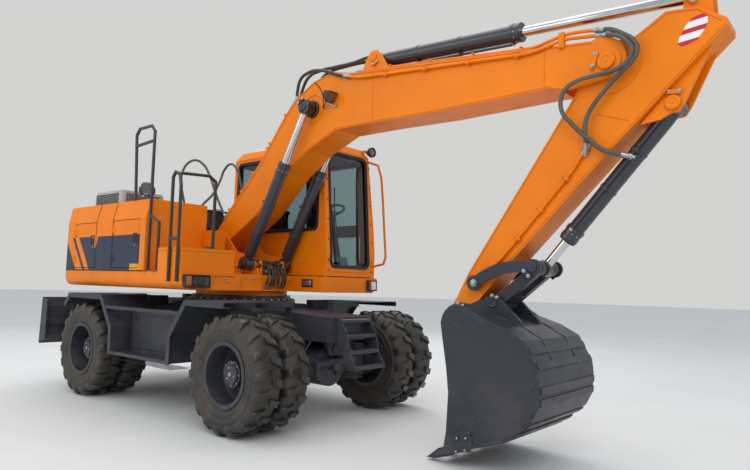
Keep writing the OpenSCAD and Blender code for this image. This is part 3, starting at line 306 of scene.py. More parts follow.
class Graph:
    """A node material under construction, read in the piece's own object coordinates."""

    def __init__(self, name):
        self.material = bpy.data.materials.new(name)
        self.material.use_nodes = True
        self.tree = self.material.node_tree
        self.tree.nodes.clear()
        self.shader = self.node("BsdfPrincipled")
        out = self.node("OutputMaterial")
        self.link(self.shader.outputs[0], out.inputs["Surface"])
        self.place = self.node("TexCoord").outputs["Object"]
        parts = self.node("SeparateXYZ")
        self.link(self.place, parts.inputs[0])
        self.x, self.y, self.z = parts.outputs

    def node(self, kind, **settings):
        node = self.tree.nodes.new("ShaderNode" + kind)
        for name, value in settings.items():
            setattr(node, name, value)
        return node

    def link(self, source, target):
        self.tree.links.new(source, target)

    def put(self, value, target):
        if hasattr(value, "is_linked"):
            self.link(value, target)
        else:
            target.default_value = value

    def dress(self, **inputs):
        """Sets inputs of the shader, each to a value or a node's output. A low line is a space."""
        for name, value in inputs.items():
            self.put(value, self.shader.inputs[name.replace("_", " ")])

    def math(self, operation, a, b=0.0, clamp=False):
        node = self.node("Math", operation=operation, use_clamp=clamp)
        for value, target in zip((a, b), node.inputs):
            self.put(value, target)
        return node.outputs[0]

    def times(self, a, b, clamp=False):
        return self.math("MULTIPLY", a, b, clamp)

    def above(self, value, limit):
        return self.math("GREATER_THAN", value, limit)

    def below(self, value, limit):
        return self.math("LESS_THAN", value, limit)

    def noise(self, scale, detail=4):
        node = self.node("TexNoise")
        node.inputs["Scale"].default_value = scale
        node.inputs["Detail"].default_value = detail
        self.link(self.place, node.inputs["Vector"])
        return node.outputs["Fac"]

    def wave(self, axis, scale):
        node = self.node("TexWave", bands_direction=axis)
        node.inputs["Scale"].default_value = scale
        self.link(self.place, node.inputs["Vector"])
        return node.outputs["Fac"]

    def ramp(self, value, low, high, to_low=0.0, to_high=1.0):
        node = self.node("MapRange")
        node.clamp = True
        self.put(value, node.inputs["Value"])
        for name, number in (("From Min", low), ("From Max", high), ("To Min", to_low),
                             ("To Max", to_high)):
            node.inputs[name].default_value = number
        return node.outputs[0]

    def mix(self, share, a, b):
        node = self.node("Mix", data_type="RGBA")
        self.put(share, node.inputs["Factor"])
        self.put(a, node.inputs[6])
        self.put(b, node.inputs[7])
        return node.outputs[2]

    def softened(self, radius):
        """The surface's direction with its edges rounded by this radius."""
        node = self.node("Bevel", samples=4)
        node.inputs["Radius"].default_value = radius
        return node.outputs[0]

    def edges(self, radius):
        """How much the surface turns within this radius, from 0 on a flat face."""
        dot = self.node("VectorMath", operation="DOT_PRODUCT")
        self.link(self.softened(radius), dot.inputs[0])
        self.link(self.node("NewGeometry").outputs["Normal"], dot.inputs[1])
        return self.math("SUBTRACT", 1.0, dot.outputs["Value"])

    def bump(self, height, strength, distance=0.001, round_edge=0.0):
        node = self.node("Bump")
        node.inputs["Strength"].default_value = strength
        node.inputs["Distance"].default_value = distance
        self.link(height, node.inputs["Height"])
        if round_edge:
            self.link(self.softened(round_edge), node.inputs["Normal"])
        self.link(node.outputs[0], self.shader.inputs["Normal"])


def rgb(colour):
    return (*colour[:3], 1.0)


def shade(colour, factor):
    return tuple(c * factor for c in colour[:3])


def coat(name, colour, rough=0.35, metallic=0.0, gloss=0.0, dust=0.0, dust_top=1.2, wear=0.0,
         wear_colour=(0.30, 0.30, 0.31), round_edge=0.005, grain=0.15, grain_scale=260.0, sheen=0.5,
         base=None):
    """Sprayed or moulded surface with faded patches, dust that settles low down and worn edges.
    base takes the graph and gives the colour under all of that."""
    g = Graph(name)
    patches = g.ramp(g.noise(1.7, 5), 0.35, 0.7)
    under = base(g) if base else rgb(colour)
    over = g.mix(0.12, under, (0.02, 0.02, 0.02, 1)) if base else rgb(shade(colour, 0.86))
    tone = g.mix(patches, under, over)
    roughness = g.ramp(g.noise(6.0, 6), 0.3, 0.75, max(rough - 0.08, 0.03), rough + 0.12)
    if wear:
        worn = g.times(g.ramp(g.edges(0.006), 0.03, 0.22), g.ramp(g.noise(11, 6), 0.48, 0.62))
        tone = g.mix(g.times(worn, wear), tone, rgb(wear_colour))
    if dust:
        low = g.ramp(g.z, 0.0, dust_top, 1.0, 0.12)
        film = g.times(low, g.ramp(g.noise(5.0, 9), 0.36, 0.72))
        film = g.times(film, dust, True)
        tone = g.mix(film, tone, (0.175, 0.145, 0.112, 1))
        roughness = g.math("ADD", roughness, g.times(film, 0.4), True)
    g.dress(Base_Color=tone, Roughness=roughness, Metallic=metallic, Specular_IOR_Level=sheen,
            Coat_Weight=gloss, Coat_Roughness=0.12)
    g.bump(g.noise(grain_scale, 3), grain, 0.0006, round_edge)
    return g.material


def livery(colours):
    """Colour of the hood by place: slate below, orange above, slanted stripes and a notch."""

    def build(g):
        x = g.math("ADD", g.x, SLEW_X / 1000)

        def leaning(height, lean, operation="ADD"):
            """x, moved with the height so that an upright line leans."""
            return g.math(operation, x, g.times(g.math("SUBTRACT", g.z, height), lean))

        slant = leaning(1.453, 0.77)
        side = g.above(g.math("ABSOLUTE", g.y), 1.183)
        front = g.below(x, -0.203)
        slate = g.times(g.math("MAXIMUM", g.below(g.z, 1.815), g.below(slant, -1.663)), front)
        stripes = [g.times(g.above(slant, left), g.below(slant, right))
                   for left, right in ((-1.663, -1.492), (-1.430, -1.324))]
        notch = g.times(g.above(leaning(1.677, 0.71), -1.185),
                        g.below(leaning(1.677, 0.464, "SUBTRACT"), -1.185))
        patch = g.times(g.below(g.z, 1.503), g.above(x, -0.390))
        for gap in (*stripes, notch, patch):
            slate = g.times(slate, g.math("SUBTRACT", 1.0, gap))
        slate = g.times(slate, g.math("MAXIMUM", side, g.below(x, -2.0)))
        yellow = g.times(g.times(patch, front), side)
        return g.mix(yellow, g.mix(slate, rgb(colours.orange), rgb(colours.panel)), rgb(colours.patch))

    return build


def glass(name, tint, rough=0.02):
    g = Graph(name)
    g.dress(Base_Color=rgb(tint), Transmission_Weight=1.0, IOR=1.45,
            Roughness=g.ramp(g.noise(3.0, 7), 0.4, 0.8, rough, rough + 0.07))
    return g.material


def chrome(name):
    g = Graph(name)
    tone = g.mix(g.ramp(g.noise(4.0, 6), 0.3, 0.7), (0.62, 0.63, 0.65, 1), (0.48, 0.49, 0.50, 1))
    g.dress(Metallic=1.0, Base_Color=tone, Roughness=g.ramp(g.noise(9.0, 5), 0.3, 0.7, 0.08, 0.2))
    return g.material


def rubber(name, colour, mud, share, rough=0.62):
    """Black rubber with dried mud in patches."""
    g = Graph(name)
    film = g.ramp(g.noise(7.0, 9), 0.62 - share * 0.35, 0.80 - share * 0.2)
    speckle = g.ramp(g.noise(60.0, 4), 0.45, 0.7, 0.5, 1.0)
    film = g.times(film, speckle)
    g.dress(Base_Color=g.mix(g.times(film, 0.25 + share * 0.7), rgb(colour), rgb(mud)),
            Roughness=g.ramp(film, 0.0, 1.0, rough - 0.2, rough + 0.25))
    g.bump(g.noise(90.0, 6), 0.35, 0.0015, 0.004)
    return g.material


def cloth(name, colour):
    """Woven seat cloth: two crossed waves for the weave and a soft sheen."""
    g = Graph(name)
    thread = g.times(g.wave("X", 160), g.wave("Y", 160))
    g.dress(Base_Color=g.mix(thread, rgb(shade(colour, 0.6)), rgb(colour)), Roughness=0.9, Sheen_Weight=0.4)
    g.bump(thread, 0.4, 0.0006)
    return g.material


def striped(name, first, second, pitch=0.078, share=0.42, start=2.745):
    """Slanted reflective bands: the second colour takes its share of each pitch, from a start."""
    g = Graph(name)
    run = g.math("SUBTRACT", g.z, g.times(g.x, 0.1))
    run = g.math("DIVIDE", g.math("SUBTRACT", run, start), pitch)
    step = g.below(g.math("FRACT", run), share)
    g.dress(Base_Color=g.mix(step, rgb(first), rgb(second)), Roughness=0.28)
    g.bump(g.noise(500, 2), 0.1, 0.0004)
    return g.material


def lens(name, colour):
    """Ribbed lamp lens."""
    g = Graph(name)
    ribs = g.wave("Y", 30)
    g.dress(Base_Color=g.mix(ribs, rgb(shade(colour, 0.7)), rgb(colour)), Roughness=0.12, Coat_Weight=0.8)
    g.bump(ribs, 0.5, 0.002)
    return g.material


FINISH = {}


def make_finishes(c):
    """Every finish, by the name that the pieces use."""
    FINISH.update(
        orange=coat("orange_paint", c.orange, 0.42, gloss=0.05, sheen=0.2, dust=0.2, dust_top=1.6, wear=0.25,
                    wear_colour=(0.55, 0.30, 0.10)),
        livery=coat("hood_livery", c.orange, 0.42, gloss=0.05, sheen=0.2, dust=0.15, dust_top=1.6,
                    base=livery(c)),
        slate=coat("slate_paint", c.slate, 0.38, gloss=0.06, sheen=0.25, dust=0.45, dust_top=1.2, wear=0.5,
                   wear_colour=(0.22, 0.23, 0.25)),
        barrel=coat("cylinder_paint", shade(c.slate, 0.7), 0.3, gloss=0.3, dust=0.18, dust_top=1.4,
                    wear=0.3, wear_colour=(0.2, 0.2, 0.22)),
        grey=coat("vent_paint", (0.46, 0.47, 0.48), 0.4, gloss=0.1, dust=0.3, dust_top=3.2, wear=0.3),
        bucket=coat("bucket_paint", shade(c.slate, 0.9), 0.36, gloss=0.06, sheen=0.25, dust=0.3,
                    dust_top=0.9, wear=0.7, wear_colour=(0.34, 0.34, 0.35)),
        black=coat("black_paint", (0.018, 0.019, 0.022), 0.3, gloss=0.3, dust=0.15, dust_top=1.5,
                   wear=0.3),
        rim=coat("rim_paint", c.slate, 0.42, sheen=0.25, dust=0.55, dust_top=1.1, wear=0.5,
                 wear_colour=(0.23, 0.12, 0.06)),
        plastic=coat("black_plastic", (0.022, 0.022, 0.024), 0.5, grain=0.35, grain_scale=420),
        hose=coat("hose_rubber", (0.035, 0.036, 0.038), 0.45, grain=0.3, grain_scale=600,
                  round_edge=0.0),
        dusty=coat("dusty_hose", (0.075, 0.078, 0.066), 0.6, grain=0.35, grain_scale=500, dust=0.8,
                   dust_top=9.0, round_edge=0.0),
        paper=coat("notice_sheet", (0.36, 0.66, 0.62), 0.7, round_edge=0.0),
        seal=coat("window_rubber", (0.012, 0.012, 0.013), 0.5, round_edge=0.0),
        steel=coat("bare_steel", (0.42, 0.42, 0.43), 0.35, metallic=0.9, wear=0.4, dust=0.25,
                   wear_colour=(0.6, 0.6, 0.62)),
        cast=coat("engine_cast", (0.09, 0.095, 0.1), 0.6, metallic=0.3, dust=0.4, dust_top=3.0),
        rod=chrome("chrome_rod"),
        glass=glass("cab_glass", (0.42, 0.53, 0.55)),
        clear=glass("lamp_glass", (0.92, 0.94, 0.96), 0.12),
        tread=rubber("tyre_lug_rubber", (0.022, 0.021, 0.020), c.mud, 0.35, 0.5),
        tyre=rubber("tyre_side_rubber", (0.020, 0.019, 0.018), c.mud, 0.7, 0.7),
        cloth=cloth("seat_cloth", (0.055, 0.060, 0.072)),
        stripe=striped("reflective_bands", (0.80, 0.80, 0.78), (0.52, 0.012, 0.06)),
        white_lens=lens("white_lens", (0.80, 0.82, 0.85)),
        amber_lens=lens("amber_lens", (0.42, 0.10, 0.01)),
        brown_lens=lens("brown_lens", (0.13, 0.075, 0.06)),
        smoke_lens=lens("smoke_lens", (0.10, 0.11, 0.12)),
        red_lens=lens("red_lens", (0.45, 0.02, 0.02)),
    )


# Settings


class FinishColours(bpy.types.PropertyGroup):
    orange: FloatVectorProperty(name="Body colour", description="Colour of the boom, cab, deck and hood",
                                subtype="COLOR", default=(0.88, 0.215, 0.0), min=0, max=1)
    panel: FloatVectorProperty(name="Hood panel colour", description="Colour of the hood's lower panels",
                               subtype="COLOR", default=(0.030, 0.040, 0.072), min=0, max=1)
    patch: FloatVectorProperty(name="Hood patch colour", description="Colour of the small patch on the hood",
                               subtype="COLOR", default=(0.72, 0.33, 0.015), min=0, max=1)
    slate: FloatVectorProperty(name="Chassis colour",
                               description="Colour of the undercarriage, wheels and bucket",
                               subtype="COLOR", default=(0.036, 0.040, 0.056), min=0, max=1)
    mud: FloatVectorProperty(name="Mud colour", description="Dried mud on the tyres",
                             subtype="COLOR", default=(0.120, 0.092, 0.066), min=0, max=1)
    floor: FloatVectorProperty(name="Floor colour", description="Floor and backdrop",
                               subtype="COLOR", default=(0.74, 0.74, 0.73), min=0, max=1)


class FinishSizes(bpy.types.PropertyGroup):
    lug_height: FloatProperty(name="Lug height", description="Height of a tyre lug",
                              subtype="DISTANCE", unit="LENGTH", default=0.030, min=0.015, max=0.04)
    lugs: IntProperty(name="Lugs", description="Lugs on each half of a tyre's tread",
                      default=18, min=12, max=28)
    hose: FloatProperty(name="Hose radius", description="Radius of a thick hydraulic hose",
                        subtype="DISTANCE", unit="LENGTH", default=0.017, min=0.01, max=0.025)
    line: FloatProperty(name="Pipe radius", description="Radius of a hard hydraulic pipe",
                        subtype="DISTANCE", unit="LENGTH", default=0.014, min=0.008, max=0.02)
    seal: FloatProperty(name="Window rubber", description="Radius of the rubber round the cab's glass",
                        subtype="DISTANCE", unit="LENGTH", default=0.013, min=0.006, max=0.02)
    lamp_level: FloatProperty(name="Lamp level", description="Strength of the studio lamps",
                              default=1.0, min=0.2, max=3.0)


PIECES = []


def piece_operator(cls):
    """Lists an operator in the order in which the pieces are made."""
    PIECES.append(cls)
    return cls


# Stage and carried-over solids

# The photograph's camera: place in mm, yaw, pitch and roll in degrees, focal length and width in pixels.
CAMERA_PLACE = (5834.6, -4545.8, 1354.5)
CAMERA_ANGLES = (130.083, 4.595, 1.604)
FOCAL_LENGTH, PHOTO_WIDTH = 615.36, 750


@piece_operator
class EXCAVATOR_OT_stage(bpy.types.Operator):
    """Floor, backdrop, soft lamps and the camera at the photograph's place"""
    bl_idname = "excavator.stage"
    bl_label = "Stage"

    def execute(self, context):
        scene = context.scene
        colours, sizes = scene.excavator_colours, scene.excavator_sizes
        scene.view_settings.view_transform = "Standard"
        self.floor(colours.floor)
        self.world(scene, colours.floor)
        self.lamps(scene, sizes.lamp_level)
        self.camera(scene)
        return {"FINISHED"}

    def floor(self, colour):
        bm = bmesh.new()
        bmesh.ops.create_circle(bm, cap_ends=True, segments=96, radius=60)
        floor = new_object("floor", bm)
        g = Graph("floor")
        tone = g.mix(g.ramp(g.noise(0.6, 6), 0.3, 0.7), rgb(colour), rgb(shade(colour, 0.94)))
        g.dress(Base_Color=tone, Roughness=0.7)
        g.bump(g.noise(40, 4), 0.08, 0.002)
        floor.data.materials.append(g.material)

    def world(self, scene, colour):
        world = bpy.data.worlds.new("studio")
        scene.world = world
        world.use_nodes = True
        tree = world.node_tree
        tree.nodes.clear()
        out = tree.nodes.new("ShaderNodeOutputWorld")
        seen, fill = (tree.nodes.new("ShaderNodeBackground") for _ in range(2))
        seen.inputs["Color"].default_value = rgb(shade(colour, 0.88))
        fill.inputs["Color"].default_value = (0.90, 0.95, 1.0, 1)
        fill.inputs["Strength"].default_value = 0.74
        path = tree.nodes.new("ShaderNodeLightPath")
        shown = path.outputs["Is Camera Ray"]
        for kind in ("Is Glossy Ray", "Is Transmission Ray"):
            either = tree.nodes.new("ShaderNodeMath")
            either.operation = "MAXIMUM"
            tree.links.new(shown, either.inputs[0])
            tree.links.new(path.outputs[kind], either.inputs[1])
            shown = either.outputs[0]
        mix = tree.nodes.new("ShaderNodeMixShader")
        tree.links.new(shown, mix.inputs[0])
        tree.links.new(fill.outputs[0], mix.inputs[1])
        tree.links.new(seen.outputs[0], mix.inputs[2])
        tree.links.new(mix.outputs[0], out.inputs["Surface"])

    def lamps(self, scene, level):
        # Columns: name, power in W, size in m, place and aim in m
        for name, power, size, place, aim in (
                ("key", 410, 7.0, (6.5, -7.5, 8.5), (0.3, 0, 1.3)),
                ("top", 330, 9.0, (-1.5, 1.0, 10.0), (0, 0, 1.5)),
                ("rim", 190, 5.0, (-7.0, 6.0, 6.0), (0, 0, 1.5)),
                ("side", 210, 7.0, (-4.5, -10.0, 5.5), (-1.0, 0, 1.3))):
            lamp = bpy.data.lights.new(name, "AREA")
            lamp.energy = power * level
            lamp.size = size
            obj = bpy.data.objects.new(name, lamp)
            obj.visible_transmission = False
            obj.location = place
            obj.rotation_mode = "QUATERNION"
            obj.rotation_quaternion = (Vector(aim) - Vector(place)).to_track_quat("-Z", "Y")
            scene.collection.objects.link(obj)

    def camera(self, scene):
        yaw, pitch, roll = (math.radians(a) for a in CAMERA_ANGLES)
        ahead = Vector((math.cos(yaw) * math.cos(pitch), math.sin(yaw) * math.cos(pitch),
                        math.sin(pitch)))
        right = Vector((math.sin(yaw), -math.cos(yaw), 0))
        above = right.cross(ahead)
        right, above = (right * math.cos(roll) + above * math.sin(roll),
                        above * math.cos(roll) - right * math.sin(roll))
        data = bpy.data.cameras.new("camera")
        data.sensor_width = 36
        data.lens = data.sensor_width * FOCAL_LENGTH / PHOTO_WIDTH
        data.clip_end = 200
        camera = bpy.data.objects.new("camera", data)
        camera.matrix_world = Matrix.Translation(at(*CAMERA_PLACE)) @ axes(right, above, -ahead)
        scene.collection.objects.link(camera)
        scene.camera = camera


WEARS = {
    "orange": ("deck", "cab_shell", "cab_door", "boom", "arm", "tool_box", "engine_lid"),
    "livery": ("hood", "side_door_r", "pump_door_r", "side_door_l", "counterweight"),
    "slate": ("chassis", "front_axle", "rear_axle", "drive_line", "side_step_r", "side_step_l",
              "front_ladder", "knuckle_l", "knuckle_r", "tie_rod", "blade", "blade_arms",
              "blade_links"),
    "bucket": ("bucket", "side_links", "bucket_link"),
    "black": ("handrails",),
    "barrel": ("blade_barrels", "boom_barrels", "arm_barrel", "bucket_barrel"),
    "grey": ("vent_box",),
    "rod": ("blade_rods", "boom_rods", "arm_rod", "bucket_rod"),
    "rim": ("rim_fl", "rim_fr", "rim_rl", "rim_rr"),
    "glass": ("cab_glass", "door_glass"),
    "plastic": ("controls", "lamps", "seat_base", "valve_cover"),
    "cast": ("engine", "exhaust"),
    "tyre": ("tyre_fl", "tyre_fr", "tyre_rl", "tyre_rr"),
    "cloth": ("seat_cushion", "seat_back"),
}


@piece_operator
class EXCAVATOR_OT_paint(bpy.types.Operator):
    """Gives every solid of the frame its finish"""
    bl_idname = "excavator.paint"
    bl_label = "Paint the solids"

    def execute(self, context):
        make_finishes(context.scene.excavator_colours)
        left = set(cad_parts)
        for finish, nodes in WEARS.items():
            for node in nodes:
                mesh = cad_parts[node].data
                mesh.materials.clear()
                mesh.materials.append(FINISH[finish])
                left.discard(node)
        if left:
            raise RuntimeError(f"no finish for {sorted(left)}")
        return {"FINISHED"}


# Wheels

# Columns: name, end of the machine, side
WHEELS = (("fl", 1, 1), ("fr", 1, -1), ("rl", -1, 1), ("rr", -1, -1))
TYRE_RADIUS = 530.0
SHOULDER = 0.139


def tyre_body(y):
    """A tyre without its lugs, with rings moulded in its walls."""
    half = [(266, 106), (298, 108), (322, 124), (345, 131), (349, 134), (353, 131), (400, 136),
            (404, 139), (408, 136), (452, 133), (486, 120), (499, 98), (503, 40)]
    profile = [(r, -h) for r, h in half] + [(r, h) for r, h in reversed(half)] + [(266, -106)]
    return lathe(profile, (0, y, WHEEL_Z), (0, 1, 0), 64)


def lug(y, height, turn, side):
    """One lug of the tread: it starts near the middle and wraps down the shoulder."""
    top, low = TYRE_RADIUS, TYRE_RADIUS - height * 1000 - 8
    outline = [(3, low), (3, top), (94, top - 1), (121, top - 14), (134, top - 50), (139, top - 92),
               (126, top - 98), (112, low)]
    half = 34
    corners = [Vector((-half / 1000, h / 1000, r / 1000)) for h, r in outline]
    bm = prism(corners, (2 * half / 1000, 0, 0))
    for vert in bm.verts:
        share = vert.co.y / SHOULDER
        vert.co.x = vert.co.x * (0.80 + 0.32 * share) + 0.050 * share
        vert.co.z = math.sqrt(vert.co.z ** 2 - vert.co.x ** 2)
    soften(bm, 5, 1, 0.7)
    if side < 0:
        flip(bm)
    place = Matrix.Translation(at(0, y, WHEEL_Z)) @ Matrix.Rotation(turn, 4, "Y")
    bmesh.ops.transform(bm, matrix=place, verts=bm.verts)
    return bm


@piece_operator
class EXCAVATOR_OT_tyres(bpy.types.Operator):
    """Tyres of the four twin wheels with their lugs"""
    bl_idname = "excavator.tyres"
    bl_label = "Tyres"

    def execute(self, context):
        sizes = context.scene.excavator_sizes
        pair = Piece("tyre", "tread")
        for y in TYRES:
            pair.add(tyre_body(y))
            for i in range(sizes.lugs):
                for side in (-1, 1):
                    turn = math.tau * (i + (0.5 if side < 0 else 0)) / sizes.lugs
                    pair.add(lug(y, sizes.lug_height, turn, side), "tread")
        for key, end, hand in WHEELS:
            copy = Piece(*pair.finishes)
            copy.bm = pair.bm.copy()
            if hand < 0:
                flip(copy.bm)
            bmesh.ops.translate(copy.bm, vec=(end * AXLE_X / 1000, 0, 0), verts=copy.bm.verts)
            copy.done(f"treads_{key}", f"wheel_{key}", [f"tyre_{key}"])
        pair.bm.free()
        return {"FINISHED"}


def ring_of(centre, axis, radius, count, make):
    """The same small shape, made at places round an axis. Radius in mm."""
    axis = Vector(axis).normalized()
    side = axis.orthogonal().normalized()
    parts = []
    for i in range(count):
        spoke = Matrix.Rotation(math.tau * i / count, 3, axis) @ side
        parts.append(make(in_metres(centre) + spoke * radius / 1000, spoke))
    return joined(*parts)


@piece_operator
class EXCAVATOR_OT_hubs(bpy.types.Operator):
    """Nuts, hub covers, lock rings and valves of the wheels"""
    bl_idname = "excavator.hubs"
    bl_label = "Hubs"

    def execute(self, context):
        for key, end, hand in WHEELS:
            out = (0, hand, 0)
            piece = Piece("rim", "steel", "black")
            middle = at(end * AXLE_X, 0, WHEEL_Z)

            def on_axis(y):
                return middle + Vector((0, hand * y / 1000, 0))

            def nuts(y, radius, count, size, height):
                shape = ring_of(on_axis(y), out, radius, count, lambda p, s: nut(p, out, size, height))
                piece.add(shape, "steel")

            nuts(948, 168, 10, 16, 20)
            studs = ring_of(on_axis(948), out, 168, 10, lambda p, s: rod(p, p + Vector(out) * 0.034, 8))
            piece.add(studs, "steel")
            piece.add(lathe([(0, 1), (60, 1), (78, -2), (84, -12), (84, -20)], on_axis(1142), out))
            nuts(1122, 101, 8, 10, 8)
            piece.add(rod(on_axis(1143), on_axis(1151), 20, 2), "steel")
            nuts(1144, 56, 3, 8, 6)
            lock = [(270, 1212), (290, 1214), (296, 1217), (290, 1219), (270, 1216)]
            piece.add(lathe(lock, middle, out, 64))
            stem = middle + Vector((0.235, hand * 1.02, 0))
            piece.add(pipe([stem, stem + Vector((0.004, hand * 0.06, 0)),
                            stem + Vector((-0.02, hand * 0.12, 0))], 5, corner=20), "black")
            piece.done(f"hub_fittings_{key}", f"wheel_{key}")
        return {"FINISHED"}


# Shapes for the trim


def window_line(a0, b0, a1, b1, radius, grow=0.0, steps=5):
    """A rectangle with round corners, grown outwards by a width, as pairs of mm."""
    line = []
    for a, b, start in ((a1 - radius, b1 - radius, 0), (a0 + radius, b1 - radius, 90),
                        (a0 + radius, b0 + radius, 180), (a1 - radius, b0 + radius, 270)):
        for k in range(steps + 1):
            turn = math.radians(start + 90 * k / steps)
            reach = max(radius + grow, 4)
            line.append((a + reach * math.cos(turn), b + reach * math.sin(turn)))
    return line


def ribbon(outer, inner, sweep, bevel=0):
    """The band between two closed lines of equal count, drawn out along the sweep."""
    bm = bmesh.new()
    far, near = ([bm.verts.new(p) for p in line] for line in (outer, inner))
    count = len(far)
    faces = [bm.faces.new((far[i], far[(i + 1) % count], near[(i + 1) % count], near[i]))
             for i in range(count)]
    out = bmesh.ops.extrude_face_region(bm, geom=faces)
    bmesh.ops.translate(bm, verts=[g for g in out["geom"] if isinstance(g, bmesh.types.BMVert)],
                        vec=sweep)
    return soften(bm, bevel) if bevel else bm


# The cab's front and left walls, in mm: place low down, height from which the wall leans, how far it
# leans, and over what height
FRONT = (1010, 1700, 95, 1200)
LEFT = (1190, 2000, 60, 900)


def leaning_wall(wall, z):
    """Place of a leaning face of the cab at this height."""
    place, start, lean, rise = wall
    return place if z <= start else place - lean * (z - start) / rise


def front_x(z):
    return leaning_wall(FRONT, z)


def left_y(z):
    return leaning_wall(LEFT, z)


def on_front(depth):
    """Points of y and z on the cab's front, this deep behind its face."""
    return lambda y, z: at(front_x(z) - depth, y, z)


def on_left(depth):
    """Points of x and z on the cab's left wall, this deep behind its face."""
    return lambda x, z: at(x, left_y(z) - depth, z)


def on_x(x):
    return lambda y, z: at(x, y, z)


def on_y(y):
    return lambda x, z: at(x, y, z)


def band(spot, corners, radius, grow, shrink, sweep, bevel=0):
    """A band along a rectangle with round corners, from grow outside it to shrink inside it."""
    lines = [[spot(a, b) for a, b in window_line(*corners, radius, width)] for width in (grow, -shrink)]
    return ribbon(*lines, sweep, bevel)


def rubber_frame(corners, radius, spot, out):
    """A window's rubber: a band half in the opening, with a lip that stands proud of it."""
    out = Vector(out)
    lip = band(lambda a, b: spot(a, b) + out * 0.024, corners, radius, 3, 5, out * 0.006, 2)
    return joined(band(spot, corners, radius, 16, 24, out * 0.026, 5), lip)


def shifted(line, distance):
    """The line of x and z moved sideways, to the left of its run, in mm."""
    points = [Vector(p) for p in line]
    moved = []
    for i, point in enumerate(points):
        normals = []
        for a, b in ((i - 1, i), (i, i + 1)):
            if 0 <= a and b < len(points):
                along = (points[b] - points[a]).normalized()
                normals.append(Vector((-along.y, along.x)))
        normal = sum(normals, Vector((0, 0))).normalized()
        moved.append(tuple(point + normal * distance / max(normal.dot(normals[0]), 0.4)))
    return moved


def clamp(centre, along, out, radius, count=1, pitch=44):
    """A pipe clamp: a strip over the pipes with a foot and a bolt at each end."""
    centre, along, out = in_metres(centre), Vector(along).normalized(), Vector(out).normalized()
    side = along.cross(out)
    half = (pitch * (count - 1) / 2 + radius + 16) / 1000
    turn = axes(side, along, out)
    bm = cube(bmesh.new(), centre + out * radius / 1000, (half * 2, 0.026, 0.010), turn)
    cube(bm, centre - out * radius * 0.35 / 1000, (half * 2, 0.022, radius * 1.9 / 1000), turn)
    soften(bm, 3, 1)
    top = centre + out * (radius + 4) / 1000
    bolts = [nut(top + side * s * (half - 0.011), out, 7, 6) for s in (-1, 1)]
    return joined(bm, *bolts)


def fitting(point, along, radius):
    """The swaged end of a hose: a ferrule, a hexagon and a short neck along the line."""
    along = along.normalized()
    return joined(
        rod(point - along * 0.045, point + along * 0.006, radius * 1.18, 1.5, 20),
        rod(point + along * 0.006, point + along * 0.030, radius * 1.45, 1.5, 6),
        rod(point + along * 0.030, point + along * 0.052, radius * 0.85, 0, 16))


def collar(start, end, near, far, radius, hole):
    """A ring on the line between two points, from near to far along it, in mm."""
    profile = [(hole, near), (radius - 3, near), (radius, near + 3), (radius, far - 3), (radius - 3, far),
               (hole, far), (hole, near)]
    return lathe(profile, start, end - start, 44)


def bead(points, radius=4.5):
    """A weld bead along points in mm."""
    return pipe(points, radius, corner=8, sides=1)


def edge_bead(outline, shift, y, radius):
    """A weld bead beside the edge of a plate, at this y."""
    return bead([(x, y, z) for x, z in shifted(outline, shift)], radius)


def arc(x, y, z, radius, turns):
    """Points on a circle that stands lengthwise, at these turns in radians."""
    return [(x + radius * math.cos(turn), y, z + radius * math.sin(turn)) for turn in turns]


# Cab


